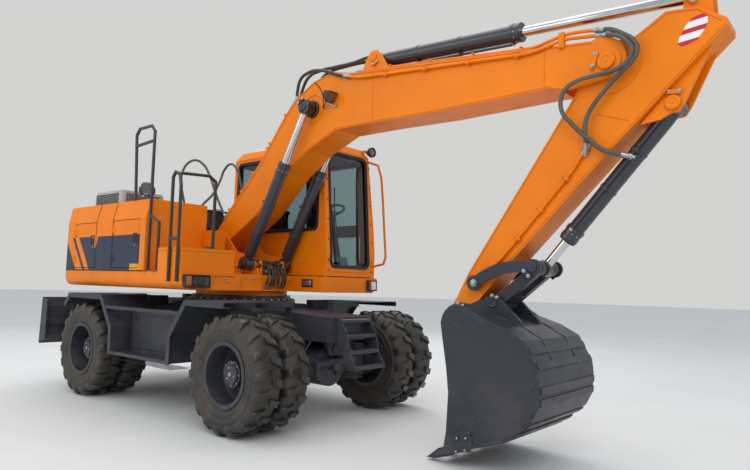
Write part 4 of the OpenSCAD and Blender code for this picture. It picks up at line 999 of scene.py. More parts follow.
@piece_operator
class EXCAVATOR_OT_cab(bpy.types.Operator):
    """Window rubbers, wiper, lining, hinges, handle and instruments of the cab"""
    bl_idname = "excavator.cab"
    bl_label = "Cab"

    def execute(self, context):
        self.rubbers()
        self.front()
        self.inside()
        self.door()
        return {"FINISHED"}

    def rubbers(self):
        piece = Piece("seal")
        for corners, radius, spot, out in (((427, 1540, 1080, 2870), 70, on_front(18), (1, 0, 0)),
                                           ((452, 2150, 1060, 2850), 60, on_x(-682), (-1, 0, 0)),
                                           ((-625, 1960, 855, 2850), 60, on_y(370), (0, -1, 0)),
                                           ((-625, 1960, -135, 2850), 60, on_left(18), (0, 1, 0))):
            piece.add(rubber_frame(corners, radius, spot, out))
        piece.done("window_rubbers", "upper")

    def front(self):
        piece = Piece("black", "orange", "plastic", "steel", "paper")
        # Wiper, parked beside the left pillar
        piece.add(rod((1000, 560, 1585), (1030, 560, 1585), 17, 3), "black")
        tip = at(front_x(2150) + 12, 500, 2150)
        piece.add(pipe([(1024, 560, 1585), (1022, 552, 1640), tip], 5), "black")
        blade = [at(front_x(z) + 4, y, z) for y, z in ((490, 1830), (498, 2140), (506, 2450))]
        piece.add(pipe(blade, 7), "plastic")
        for y, z in ((492, 1900), (504, 2380)):
            piece.add(rod((front_x(z) + 3, y, z), (front_x(z) + 13, y, z), 9, 2), "black")
        # Screws down the front pillars
        for y in (392, 1136):
            for z in (1500, 1620, 1850, 2080, 2310, 2540, 2770):
                piece.add(nut((front_x(z), y, z), (1, 0, 0), 8, 6), "black")
        # Fold line and step below the window
        piece.add(block((1008, 420, 1486), (1016, 1110, 1492), 2), "orange")
        # Gutter round the roof, and the hatch
        gutter = [(-640, 356, 2905), (860, 356, 2905), (905, 400, 2908), (905, 1080, 2908),
                  (850, 1128, 2905), (-640, 1128, 2905)]
        piece.add(pipe(gutter, 9, corner=60), "orange")
        piece.add(slab(window_line(-330, 500, 330, 1000, 60), 3058, 3074, 5), "orange")
        piece.add(slab(window_line(-300, 530, 300, 970, 50), 3070, 3082, 5), "plastic")
        for x in (-200, 200):
            piece.add(block((x - 35, 494, 3066), (x + 35, 520, 3086), 4), "black")
        # Seams of the lower right wall, and its step line
        piece.add(block((120, 348, 1574), (742, 353, 1579), 1), "orange")
        piece.add(block((-690, 349, 1940), (1000, 353, 1944), 1), "orange")
        # Rubber strip below the cab, and the notice sheet behind the windscreen
        piece.add(pipe([(-700, 349, 1430), (1013, 349, 1430), (1013, 1100, 1430)], 6, corner=40), "plastic")
        sheet = ((560, 1660), (585, 1555), (760, 1555), (735, 1660))
        piece.add(prism([on_front(40)(y, z) for y, z in sheet], (0.0015, 0, 0)), "paper")
        # Socket on the deck's side
        piece.add(block((745, 240, 1304), (918, 251, 1394), 6), "plastic")
        piece.add(block((765, 236, 1322), (898, 242, 1376), 4), "steel")
        piece.done("cab_trim", "upper")

    def inside(self):
        piece = Piece("plastic", "seal", "cloth", "grey")
        floor = 1472
        piece.add(slab([(-640, 410), (940, 410), (940, 1130), (-640, 1130)], floor, floor + 12, 4), "seal")
        for x in range(-100, 900, 60):
            piece.add(block((x, 430, floor + 10), (x + 24, 1110, floor + 16), 2), "seal")
        # Lining of the walls below the windows and under the roof
        piece.add(block((-650, 399, 1500), (900, 412, 1925), 10), "plastic")
        piece.add(block((-653, 420, 1500), (-636, 1130, 2110), 10), "plastic")
        piece.add(slab(window_line(-560, 470, 760, 1010, 80), 2985, 3000, 5), "plastic")
        piece.add(block((700, 440, 2900), (780, 1060, 2960), 14), "plastic")
        # Sun blind, monitor on its arm, and the speaker in the corner
        piece.add(rod((850, 450, 2850), (850, 1050, 2850), 22, 4), "grey")
        piece.add(block((560, 470, 2040), (610, 660, 2180), 12), "plastic")
        piece.add(block((556, 486, 2056), (561, 644, 2164), 2), "seal")
        piece.add(pipe([(590, 560, 2050), (640, 520, 1900), (660, 450, 1720)], 14, corner=60), "plastic")
        piece.add(lathe([(0, 26), (38, 22), (50, 10), (58, 18), (66, 18), (70, 0)], (720, 980, 2830),
                        (-0.5, -0.3, -0.8), 32), "seal")
        # Pedals and their levers
        pedal = ((720, 1520), (820, 1600), (828, 1592), (728, 1510))
        for y in (700, 820):
            piece.add(prism([at(x, y - 38, z) for x, z in pedal], (0, 0.076, 0), 3), "seal")
            piece.add(pipe([(740, y, 1520), (700, y, 1700), (690, y - 20, 1820)], 9), "plastic")
            piece.add(rod((690, y - 20, 1815), (688, y - 20, 1880), 16, 5), "seal")
        # Strips round the windows
        for spot, corners, width, sweep in ((on_x(-648), (404, 1500, 1120, 2930), 44, (0.008, 0, 0)),
                                            (on_y(402), (-650, 1930, 870, 2900), 34, (0, 0.008, 0)),
                                            (on_left(56), (-650, 1500, -70, 2900), 60, (0, 0.008, 0)),
                                            (on_front(56), (400, 1505, 1110, 2900), 36, (0.008, 0, 0))):
            piece.add(band(spot, corners, 60, 0, width, sweep), "plastic")
        piece.done("cab_lining", "upper")

    def door(self):
        piece = Piece("seal", "plastic", "black")
        piece.add(rubber_frame((15, 2060, 755, 2830), 50, on_left(18), (0, 1, 0)))
        piece.add(rubber_frame((15, 1560, 805, 1960), 50, on_y(1172), (0, 1, 0)))
        piece.add(block((730, 1186, 1985), (850, 1196, 2030), 8), "plastic")
        piece.add(pipe([(745, 1190, 2008), (745, 1222, 2008), (835, 1222, 2008), (835, 1190, 2008)],
                       8, corner=18), "black")
        piece.add(rod((705, 1185, 2008), (705, 1199, 2008), 13, 2), "black")
        piece.add(pipe([(40, left_y(2030) - 20, 2012), (40, 1208, 2012), (640, 1208, 2012),
                        (640, left_y(2030) - 20, 2012)], 9, corner=30), "black")
        piece.add(band(on_left(54), (-45, 1500, 805, 2860), 60, 0, 50, (0, 0.006, 0)), "plastic")
        piece.add(block((20, 1134, 1968), (800, 1141, 2052), 4), "plastic")
        piece.done("door_trim", "cab_entry")


# Seat


# Seat pads: the share by which a pad shrinks before it swells. Then, in metres, how far its cloth may
# move, how far it may stand out of the solid's box, and the radius of its edges.
PUFF, CLOTH_MOVE, SWELL, PAD_EDGE = 0.05, 0.024, 0.012, 0.032


def pad(node, name):
    """A padded cushion in a solid's place: rounded, swollen as cloth, then smoothed."""
    low, high = (Vector(corner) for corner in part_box(node))
    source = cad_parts[node].data
    bm = bmesh.new()
    bm.from_mesh(source)
    bmesh.ops.remove_doubles(bm, verts=bm.verts, dist=1e-4)
    bmesh.ops.dissolve_limit(bm, angle_limit=0.02, verts=bm.verts, edges=bm.edges)
    middle = (low + high) / 2
    for vert in bm.verts:
        vert.co = middle + (vert.co - middle) * (1 - PUFF)
    bmesh.ops.bevel(bm, geom=bm.edges[:], offset=PAD_EDGE, segments=4, profile=0.5, affect="EDGES")
    obj = new_object(name, bm)
    remesh = obj.modifiers.new("remesh", "REMESH")
    remesh.mode = "VOXEL"
    remesh.voxel_size = 0.008
    settle(obj)
    before = [v.co.copy() for v in obj.data.vertices]
    cloth = obj.modifiers.new("cloth", "CLOTH")
    cloth.settings.use_pressure = True
    cloth.settings.uniform_pressure_force = 4
    cloth.settings.effector_weights.gravity = 0
    cloth.settings.quality = 5
    cloth.point_cache.frame_start, cloth.point_cache.frame_end = 1, 20
    for number in range(1, 21):
        bpy.context.scene.frame_set(number)
    settle(obj)
    bpy.context.scene.frame_set(1)
    for vert, old in zip(obj.data.vertices, before):
        move = vert.co - old
        if move.length > CLOTH_MOVE:
            vert.co = old + move.normalized() * CLOTH_MOVE
    for vert in obj.data.vertices:
        for axis in range(3):
            vert.co[axis] = min(max(vert.co[axis], low[axis] - SWELL), high[axis] + SWELL)
    return obj


def settle(obj):
    """Applies the modifiers of an object to its mesh."""
    depsgraph = bpy.context.evaluated_depsgraph_get()
    mesh = bpy.data.meshes.new_from_object(obj.evaluated_get(depsgraph))
    obj.modifiers.clear()
    old, obj.data = obj.data, mesh
    bpy.data.meshes.remove(old)


@piece_operator
class EXCAVATOR_OT_seat(bpy.types.Operator):
    """Padded seat cushion and back, with piping round the cushion"""
    bl_idname = "excavator.seat"
    bl_label = "Seat"

    def execute(self, context):
        for node, name in (("seat_cushion", "cushion"), ("seat_back", "backrest")):
            obj = pad(node, name)
            obj.data.materials.clear()
            obj.data.materials.append(FINISH["cloth"])
            for polygon in obj.data.polygons:
                polygon.use_smooth = True
            smooth = obj.modifiers.new("smooth", "SUBSURF")
            smooth.levels = smooth.render_levels = 1
            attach(obj, "upper")
            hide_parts(node)
        piece = Piece("seal")
        low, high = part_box("seat_cushion")
        # Piping round the cushion's waist
        z = (low[2] + high[2]) / 2
        loop = window_line(low[0] * 1000, low[1] * 1000, high[0] * 1000, high[1] * 1000, 60, 4, 6)
        piece.add(pipe([Vector((x / 1000, y / 1000, z)) for x, y in loop + loop[:1]], 5, corner=5))
        piece.done("seat_piping", "upper")
        return {"FINISHED"}


# Hood and deck

TAIL_RADIUS = 2250


@piece_operator
class EXCAVATOR_OT_hood(bpy.types.Operator):
    """Seams, latches, hinges, bolts and lenses of the hood and the deck"""
    bl_idname = "excavator.hood"
    bl_label = "Hood and deck"

    def execute(self, context):
        self.seams()
        self.latches()
        self.lenses()
        self.top()
        return {"FINISHED"}

    def seams(self):
        piece = Piece("seal", "black", "plastic")
        # Dark strips down the door seams: partly the rubber gaskets, partly painted shade of the gaps between
        # the doors
        for x, s in ((-1172, -1), (-796, -1), (-820, 1), (-1735, 1)):
            piece.add(pipe([(x, 1201 * s, 1450), (x, 1201 * s, 1996), (x, 1152 * s, 2190)], 3, corner=10,
                           sides=1))
        # Rubber strip between the hood and the deck
        tail = [(-math.sqrt(TAIL_RADIUS ** 2 - y * y), y) for y in reversed(range(-1200, -694, 84))]
        right = [(-2140, 0), (-2140, -690), *tail, (-105, -1202), (-103, -508)]
        left = [(-2140, 0), (-2140, 690), *[(x, -y) for x, y in tail], (-775, 1202)]
        for edge in (right, left):
            piece.add(pipe([(x, y, 1429) for x, y in edge], 7, corner=20), "seal")
        # Jacking eyes, and a row of slots in the counterweight's back drawn as near-black blocks: painted
        # shade of the slot openings
        for y in (-500, 500):
            piece.add(lathe([(44, 0), (60, 3), (66, 12), (60, 20), (44, 22), (40, 8), (44, 0)],
                            (-1890, y, 2192), (0, 0, 1), 32), "black")
        for k in range(7):
            piece.add(block((-2142, -420 + k * 120, 1560), (-2132, -350 + k * 120, 1600), 4), "seal")
        piece.done("hood_seams", "upper")

    def latches(self):
        # Columns: body, x of the latch, x of the hinge, side
        for name, body, x, hinge, y in (("latch_engine", "door_engine", -1255, -1690, -1),
                                        ("latch_pump", "door_pump", -305, -780, -1),
                                        ("latch_left", "door_left", -900, -1690, 1)):
            piece = Piece("black", "plastic", "steel")
            low = 1199 * y
            out = (0, y, 0)
            face = at(x, low, 1770)
            corners = ((-1, -1), (1, -1), (1, 1), (-1, 1))
            rims = [[face + Vector((a * width, 0, b * height)) for a, b in corners]
                    for width, height in ((0.045, 0.06), (0.03, 0.045))]
            piece.add(ribbon(*rims, (0, y * 0.006, 0), 1), "plastic")
            piece.add(block((x - 8, low - 2 * y, 1735), (x + 8, low + 5 * y, 1800), 3), "black")
            piece.add(rod((x, low, 1698), (x, low + 5 * y, 1698), 11, 1), "steel")
            for z in (1560, 1690, 1830, 1960):
                piece.add(nut((hinge + 8, low, z), out, 7, 5), "black")
            piece.done(name, body)

    def lenses(self):
        piece = Piece("white_lens", "amber_lens", "seal", "steel", "orange",
                      "red_lens", "clear", "rod", "smoke_lens")
        piece.add(panel(window_line(-1094, 1290, -908, 1388, 14), 633, 641, 3), "clear")
        bowl = [(0, 1), (16, 2), (34, 8), (45, 20), (47, 26), (47, 20), (30, 2), (0, 0)]
        for y in (-1052, -950):
            piece.add(lathe(bowl, (602, y, 1339), (1, 0, 0), 40), "rod")
            piece.add(lathe([(0, 20), (9, 17), (12, 8), (12, 0)], (603, y, 1339), (1, 0, 0), 20),
                      "white_lens")
        for y0, y1, radius, x0, x1, colour in ((-1174, -1104, 14, 628, 640, "amber_lens"),
                                               (1052, 1148, 14, 1073, 1086, "white_lens"),
                                               (1022, 1044, 9, 1073, 1085, "amber_lens")):
            piece.add(panel(window_line(y0, 1290, y1, 1388, radius), x0, x1, 4), colour)
        for y in (-1100, 1048):
            x = 628 if y < 0 else 1073
            piece.add(block((x, y - 4, 1288), (x + 16, y + 4, 1390), 2), "seal")
        piece.add(lathe([(0, 0), (40, -3), (51, -10)], (976, 1140, 2975), (1, 0, 0), 32), "smoke_lens")
        # Tail lamps in the counterweight
        for y in (-600, 600):
            piece.add(block((-2148, y - 80, 1500), (-2137, y + 80, 1560), 5), "seal")
            piece.add(block((-2151, y - 70, 1508), (-2144, y + 10, 1552), 4), "red_lens")
            piece.add(block((-2151, y + 16, 1508), (-2144, y + 70, 1552), 4), "amber_lens")
        # Bolts of the recess beside the lamp and along the deck's front
        for y, z in ((-640, 1340), (-680, 1372)):
            piece.add(nut((590, y, z), (1, 0, 0), 12, 9), "steel")
        for y in (-480, -380, -280, 230):
            piece.add(nut((540, y, 1380), (1, 0, 0), 11, 8), "steel")
        piece.add(block((539, -500, 1250), (585, 250, 1262), 3), "orange")
        piece.done("deck_lamps", "upper")

    def top(self):
        piece = Piece("plastic", "steel", "black", "cast")
        # Clamp bands on the air cleaner, rain cap and exhaust seams
        up = (0, 0, 1)
        for z in (2230, 2290):
            piece.add(lathe([(62, 0), (69, 0), (69, 14), (62, 14), (62, 0)], (-790, -820, z), up, 40),
                      "steel")
        for k in range(20):
            turn = math.tau * k / 20
            foot = at(-790, -820, 2345) + Vector((math.cos(turn), math.sin(turn), 0)) * 0.0885
            piece.add(rod(foot, foot + Vector((0, 0, 0.05)), 3.4, 0, 6), "plastic")
        piece.add(lathe([(40, 0), (44, 0), (44, 10), (40, 10), (40, 0)], (-640, -900, 2300), up, 32), "steel")
        # Mesh bars on the vent housing
        for k in range(27):
            x = -1595 + k * 20
            for y in (-1021, -459):
                piece.add(block((x, y - 1.5, 2212), (x + 5, y + 1.5, 2342), 0), "plastic")
        for k in range(20):
            y = -950 + k * 21
            for x in (-1661, -999):
                piece.add(block((x - 1.5, y, 2212), (x + 1.5, y + 5, 2342), 0), "plastic")
        for x in (-1600, -1060):
            for y in (-970, -510):
                piece.add(nut((x, y, 2376), up, 10, 7), "steel")
        # Grip plates on the hood's top, the tool box and the walkway
        for low, high, z in (((-640, -1120), (-140, -960), 2190), ((-640, -860), (-140, -520), 2190),
                             ((190, -1150), (550, -600), 1665)):
            piece.add(slab([low, (high[0], low[1]), high, (low[0], high[1])], z, z + 3, 1), "black")
            for x in range(low[0] + 24, high[0] - 10, 44):
                for y in range(low[1] + 24, high[1] - 10, 44):
                    piece.add(rod((x, y, z + 2), (x, y, z + 7), 9, 0, 8, 6), "black")
        # Filler cap and its chain plate on the tool box
        filler = [(0, 40), (34, 40), (40, 34), (40, 8), (52, 6), (54, 0)]
        piece.add(lathe(filler, (300, -700, 1667), up, 32), "cast")
        piece.done("hood_top_trim", "upper")


# Engine bay


@piece_operator
class EXCAVATOR_OT_engine(bpy.types.Operator):
    """Engine, cooler with its fan, pumps, filters and batteries behind the doors and the lid"""
    bl_idname = "excavator.engine"
    bl_label = "Engine bay"

    def execute(self, context):
        self.top()
        self.sides()
        self.cooler()
        self.pump_bay()
        return {"FINISHED"}

    def top(self):
        piece = Piece("cast", "plastic", "steel", "hose")
        piece.add(block((-1560, -440, 2055), (-1170, 420, 2100), 10), "cast")
        piece.add(block((-1500, -420, 2098), (-1250, 390, 2146), 22, 3), "plastic")
        for y in range(-360, 361, 120):
            piece.add(block((-1490, y - 5, 2140), (-1260, y + 5, 2151), 3), "plastic")
            piece.add(nut((-1375, y + 60 if y < 360 else y - 60, 2146), (0, 0, 1), 11, 9), "steel")
        piece.add(lathe([(0, 20), (30, 20), (36, 14), (36, 0)], (-1440, 330, 2146), (0, 0, 1), 24), "hose")
        for y in (-330, -110, 110, 330):
            # Injectors with their pipes to the pump at the block's side
            piece.add(rod((-1212, y, 2096), (-1212, y, 2140), 15, 2, 12), "steel")
            piece.add(pipe([(-1212, y, 2136), (-1180, y, 2160), (-1090, y * 0.8, 2150),
                            (-1020, y * 0.45, 2060), (-1015, y * 0.35, 1960)], 5, soft=True), "steel")
            # Exhaust runners into the manifold
            piece.add(pipe([(-1560, y, 2072), (-1640, y, 2072), (-1700, y * 0.9, 2040)], 28, corner=50),
                      "cast")
        piece.add(pipe([(-1705, -330, 2036), (-1705, 330, 2036)], 38), "cast")
        # Turbocharger, and the duct from the air cleaner
        snail = [(0, -70), (40, -70), (58, -40), (92, -30), (104, 0), (92, 30), (60, 40), (44, 66), (0, 66)]
        piece.add(lathe(snail, (-1705, -410, 2036), (0, 1, 0), 40), "steel")
        piece.add(pipe([(-1705, -480, 2036), (-1690, -620, 2060), (-1400, -760, 2110), (-1000, -820, 2120),
                        (-800, -820, 2120), (-790, -820, 2172)], 46, corner=120), "hose")
        piece.add(block((-1040, -400, 1950), (-962, 330, 2040), 24, 3), "cast")
        piece.add(pipe([(-1010, 320, 2000), (-1010, 470, 2060), (-1120, 600, 2080), (-1160, 760, 2040)], 34,
                       corner=90), "hose")
        piece.done("engine_top", "upper")

    def sides(self):
        piece = Piece("cast", "plastic", "steel", "hose", "black")
        # Ribs of the block and the sump's rim
        for face in (-1644, -1036):
            for y in range(-440, 441, 110):
                piece.add(block((face - 8, y - 10, 1560), (face + 8, y + 10, 2020), 4), "cast")
            piece.add(block((face - 12, -510, 1540), (face + 12, 510, 1562), 4), "cast")
        can = [(0, 200), (40, 200), (50, 190), (52, 14), (44, 0), (0, 0)]
        lid = [(46, 200), (58, 202), (58, 226), (46, 228)]
        for y in (-200, -70):
            for profile, finish in ((can, "plastic"), (lid, "steel")):
                piece.add(lathe(profile, (-985, y, 1640), (0, 0, 1), 32), finish)
        # Flywheel housing and the pump group on the right end
        middle, right = at(-1340, -520, 1740), (0, -1, 0)
        piece.add(lathe([(250, 0), (262, 12), (262, 60), (246, 72), (150, 78), (150, 140), (118, 150),
                         (118, 300), (96, 320), (96, 420), (60, 432), (0, 432)], middle, right, 56), "cast")
        for depth, radius, count, size, height in ((-0.062, 232, 16, 10, 9), (-0.142, 134, 6, 12, 10)):
            piece.add(ring_of(middle + Vector((0, depth, 0)), right, radius, count,
                              lambda p, s: nut(p, right, size, height)), "steel")
        for x, z, far in ((-1420, 1700, -1720), (-1300, 1660, -1560), (-1260, 1780, -1000)):
            piece.hose([(x, -820, z), (x, -900, z - 40), (x + (far - x) * 0.4, -960, z - 130),
                        (far, -900, z - 190), (far, -700, 1450)], 19, "hose")
        # Batteries with their leads
        for x in (-1670, -1480):
            piece.add(block((x, -1130, 1430), (x + 170, -930, 1620), 8), "plastic")
            piece.add(block((x + 8, -1122, 1618), (x + 162, -938, 1636), 5), "black")
            for y in (-1095, -965):
                piece.add(rod((x + 84, y, 1634), (x + 84, y, 1654), 11, 2, 16), "steel")
        piece.add(pipe([(-1586, -965, 1648), (-1586, -965, 1690), (-1396, -965, 1690),
                        (-1396, -965, 1648)], 8, corner=30), "hose")
        piece.add(pipe([(-1396, -1095, 1648), (-1396, -1095, 1700), (-1360, -900, 1640),
                        (-1360, -800, 1560)], 8, corner=40), "hose")
        piece.done("engine_sides", "upper")

    def cooler(self):
        piece = Piece("cast", "plastic", "steel", "hose", "black")
        piece.add(block((-1680, 860, 1460), (-980, 950, 2030), 6), "black")
        for z in (1440, 2024):
            piece.add(block((-1690, 850, z), (-970, 960, z + 40), 10), "cast")
        for x in range(-1664, -990, 24):
            for y in (858, 948):
                piece.add(block((x, y, 1480), (x + 5, y + 4, 2022)), "steel")
        axis, middle = (0, 1, 0), at(-1340, 700, 1740)
        cowl = [(266, 0), (272, 0), (276, 110), (300, 150), (296, 152), (268, 112), (266, 0)]
        hub = [(0, 60), (60, 56), (76, 40), (76, -20), (50, -40), (50, -180), (0, -180)]
        piece.add(lathe(cowl, middle, axis, 64), "plastic")
        piece.add(lathe(hub, middle, axis, 36), "cast")

        def vane(place, spoke):
            tilted = (spoke.cross(Vector(axis)) + Vector(axis) * 0.6).normalized()
            return cube(bmesh.new(), place + Vector((0, 0.03, 0)), (0.190, 0.090, 0.005),
                        axes(spoke, tilted, spoke.cross(tilted)))

        piece.add(ring_of(middle, axis, 160, 9, vane), "plastic")
        # Alternator, belt and pulleys
        for x, z, r in ((-1340, 1740, 84), (-1340, 1560, 96), (-1130, 1880, 42)):
            piece.add(lathe([(0, 24), (r - 8, 24), (r, 20), (r - 6, 12), (r, 4), (r - 8, 0), (0, 0)],
                            (x, 540, z), axis, 40), "steel")
        alternator = [(0, 0), (70, 0), (78, -20), (78, -110), (60, -126), (0, -126)]
        piece.add(lathe(alternator, (-1130, 540, 1880), axis, 36), "steel")
        belt = [(-1085, 1895), (-1150, 1920), (-1400, 1810), (-1430, 1740), (-1438, 1560), (-1340, 1464),
                (-1250, 1530), (-1100, 1850)]
        piece.add(pipe([at(x, 552, z) for x, z in belt + belt[:1]], 7, corner=60), "hose")
        for a, b in (((-1060, 850, 2040), (-1100, 540, 2075)), ((-1640, 850, 1490), (-1600, 530, 1520))):
            run = [a, (a[0], a[1] - 110, a[2]), (b[0], b[1] + 110, b[2]), b]
            piece.add(pipe(run, 30, corner=70), "hose")
        piece.done("cooler", "upper")

    def pump_bay(self):
        piece = Piece("cast", "plastic", "steel", "hose", "grey")
        for x in (-340, -480):
            for profile, finish in (([(0, 0), (52, 0), (58, 8), (58, 230), (48, 244), (0, 244)], "grey"),
                                    ([(50, 244), (66, 246), (66, 286), (50, 290), (0, 290)], "cast")):
                piece.add(lathe(profile, (x, -1040, 1500), (0, 0, 1), 36), finish)
        piece.add(block((-560, -1090, 1786), (-270, -990, 1830), 6), "cast")
        piece.add(block((-760, -1100, 1430), (-590, -900, 1640), 12), "cast")
        for k in range(4):
            piece.add(block((-752 + k * 42, -1108, 1500), (-726 + k * 42, -1098, 1600), 4), "steel")
            piece.hose([(-740 + k * 42, -1000, 1640), (-735 + k * 44, -1000, 1760),
                        (-660 + k * 60, -940, 1850), (-560 + k * 70, -800, 1800 - 40 * k),
                        (-540 + k * 80, -640, 1560)], 16, "hose")
        # Washer bottle
        piece.add(block((-330, -860, 1430), (-240, -660, 1640), 20, 3), "grey")
        piece.add(lathe([(0, 24), (26, 24), (28, 0)], (-285, -760, 1638), (0, 0, 1), 24), "plastic")
        piece.done("pump_group", "upper")


# Boom and arm

# Pins of the working gear, as x and z in mm
LIFT_FOOT, LIFT_HEAD = (400, 1545), (1270, 3150)
ARM_FOOT, ARM_HEAD, ARM_PIVOT = (2020, 3560), (4880, 3400), (4300, 3010)
CURL_FOOT, CURL_HEAD = (4722, 2652), (3750, 1515)
SIDE_LINK_PIN, BUCKET_PIN, LINK_PIN = (3235, 1390), (3085, 1150), (3400, 1230)
BOOM_TOP = [(-184, 2050), (419, 2626), (802, 3093), (1009, 3311), (1259, 3446), (1523, 3499), (1796, 3437),
            (4188, 3187)]


@piece_operator
class EXCAVATOR_OT_boom(bpy.types.Operator):
    """Hard pipes with clamps, lamp, welds and pin caps of the boom"""
    bl_idname = "excavator.boom"
    bl_label = "Boom"

    def execute(self, context):
        sizes = context.scene.excavator_sizes
        line = sizes.line * 1000
        piece = Piece("orange", "steel", "black", "plastic", "brown_lens")
        leg = [(-150, 2082), (419, 2626), (802, 3093), (960, 3259)]
        for y in (-150, -108, 108, 150):
            run = [at(x, y, z) for x, z in shifted(leg, line + 12)]
            piece.add(pipe(run, line, corner=70))
            piece.fittings(run, line)
        for share in (0.14, 0.5, 0.86, 1.5, 2.3):
            i = int(share)
            a, b = (Vector((leg[k][0], leg[k][1])) for k in (i, i + 1))
            spot = a + (b - a) * (share - i)
            along = (b - a).normalized()
            out = Vector((-along.y, 0, along.x))
            for y in (-129, 129):
                centre = at(spot.x, y, spot.y) + out * (line + 12) / 1000
                piece.add(clamp(centre, (along.x, 0, along.y), out, line, 2, 42))
        # Pipes along the upper stretch: on the side near the camera, and on top
        side = [(1765, -194, 3402), (1900, -194, 3362), (2060, -194, 3345), (3700, -194, 3197),
                (3850, -190, 3218), (3970, -172, 3252), (4110, -165, 3238), (4262, -165, 3217)]
        over = [(1860, -112, 3458), (3700, -112, 3266), (3830, -166, 3262), (3970, -168, 3290),
                (4110, -168, 3282), (4244, -167, 3262)]
        for run in (side, [(x, -y, z) for x, y, z in side[:4]], over, [(x, -y, z) for x, y, z in over]):
            points = [at(*p) for p in run]
            piece.add(pipe(points, line, corner=90))
            piece.fittings(points, line)
        for x in (2250, 2700, 3150, 3600):
            for y in (-1, 1):
                piece.add(clamp((x, y * 193, 3345 - (x - 2060) * 0.0902), (1, 0, -0.09), (0, y, 0), line))
                piece.add(clamp((x, y * 112, 3458 - (x - 1860) * 0.1043), (1, 0, -0.1), (0, 0, 1), line))
        piece.add(block((3940, -196, 3180), (3985, -151, 3306), 5))
        # Work lamp on the side plate, on its bracket
        piece.add(rod((1600, -170, 3135), (1600, -196, 3135), 16, 2), "steel")
        piece.add(pipe([(1600, -192, 3135), (1585, -222, 3132), (1553, -240, 3150), (1553, -240, 3190)], 7,
                       corner=14), "steel")
        ahead, above = Vector((0.819, -0.574)), Vector((0.574, 0.819))
        # Columns: outline along and across the beam, y, width, finish
        for outline, y, width, finish in (
                (((-42, 30), (-42, -30), (28, -54), (28, 54)), -296, 104, "plastic"),
                (((26, 60), (26, -60), (46, -60), (46, 60)), -302, 116, "plastic"),
                (((40, 50), (40, -50), (50, -50), (50, 50)), -292, 96, "brown_lens")):
            corners = [Vector((1560, 3230)) + ahead * a + above * b for a, b in outline]
            piece.add(prism([at(x, y, z) for x, z in corners], (0, width / 1000, 0), 5), finish)
        piece.add(pipe([(1500, -190, 3230), (1470, -200, 3180), (1430, -190, 3140), (1420, -178, 3200),
                        (1380, -178, 3330), (1290, -178, 3428)], 5, soft=True), "plastic")
        # Weld beads along the plates' edges
        for y in (-177, 177):
            piece.add(edge_bead(BOOM_TOP, -15, y, 4))
            lower = [(-150, 1745), (429, 2091), (886, 2512), (1205, 2723), (1615, 2891), (2190, 2889),
                     (2864, 2875), (3871, 2891)]
            piece.add(edge_bead(lower, 15, y, 4))
            piece.add(bead([(2080, y, 3392), (2080, y, 2905)], 3))
            piece.add(bead([(3820, y, 3205), (3820, y, 2905)], 3))
            x, z = LIFT_HEAD
            piece.add(bead(arc(x, y, z, 150, [math.tau * k / 24 for k in range(25)]), 3.5))
        # Pin ends and their keepers, and the black hub of the cylinders' heads
        for y in (-1, 1):
            out = (0, y, 0)
            x, z = LIFT_HEAD
            hub = [(90, 177), (91, 204), (86, 209), (44, 209), (44, 206)]
            piece.add(lathe(hub, (x, 0, z), out, 44), "black")
            for (x, z), depth, radius, keeper in ((ARM_PIVOT, 188, 64, (-1, 0, 0.25)),
                                                  (ARM_FOOT, 113, 40, (0.4, 0, -0.9))):
                piece.cap((x, y * depth, z), out, radius, keeper)
        piece.done("boom_fittings", "boom")
        self.elbow(sizes.hose * 1000)
        self.foot_arcs(sizes.hose * 1000)
        self.pivot_loops(sizes.hose * 1000)
        return {"FINISHED"}

    def elbow(self, radius):
        """Hoses over the boom's bend, from the leg's pipes to the upper ones and the arm cylinder."""
        piece = Piece("hose", "steel")
        # The last two end at the arm cylinder
        for points in (
                [(985, -150, 3300), (1000, -160, 3400), (1060, -172, 3520), (1180, -178, 3562),
                 (1330, -182, 3556), (1500, -190, 3498), (1640, -194, 3440), (1750, -194, 3406)],
                [(985, 150, 3300), (1000, 160, 3400), (1070, 172, 3500), (1250, 178, 3550), (1450, 188, 3510),
                 (1750, 194, 3406)],
                [(985, -108, 3300), (1010, -100, 3420), (1090, -84, 3560), (1240, -66, 3602),
                 (1440, -52, 3604), (1700, -44, 3598), (1900, -60, 3602), (1990, -66, 3590)],
                [(985, 108, 3300), (1010, 100, 3430), (1120, 66, 3560), (1300, 20, 3600), (1560, -8, 3600),
                 (1840, 30, 3602), (1990, 66, 3590)]):
            piece.hose(points, radius)
        piece.done("elbow_hoses", "boom")

    def foot_arcs(self, radius):
        """Two long arcs from the valve cover up and over to the pipes on the boom's leg."""
        for name, points in (
                ("boom_hose_right", [(-650, -380, 2120), (-668, -410, 2300), (-690, -440, 2500),
                                     (-673, -440, 2650), (-620, -400, 2755), (-560, -340, 2788),
                                     (-500, -280, 2745), (-427, -230, 2610), (-350, -190, 2400),
                                     (-250, -160, 2200), (-178, -150, 2098)]),
                ("boom_hose_left", [(-600, -300, 2120), (-590, -200, 2260), (-575, -60, 2420),
                                    (-585, 40, 2600), (-545, 70, 2740), (-450, 85, 2800), (-350, 95, 2745),
                                    (-260, 105, 2560), (-190, 108, 2300), (-178, 108, 2098)])):
            piece = Piece("dusty", "steel")
            piece.hose(points, radius * 0.85)
            obj = piece.done(name, None)
            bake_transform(obj)

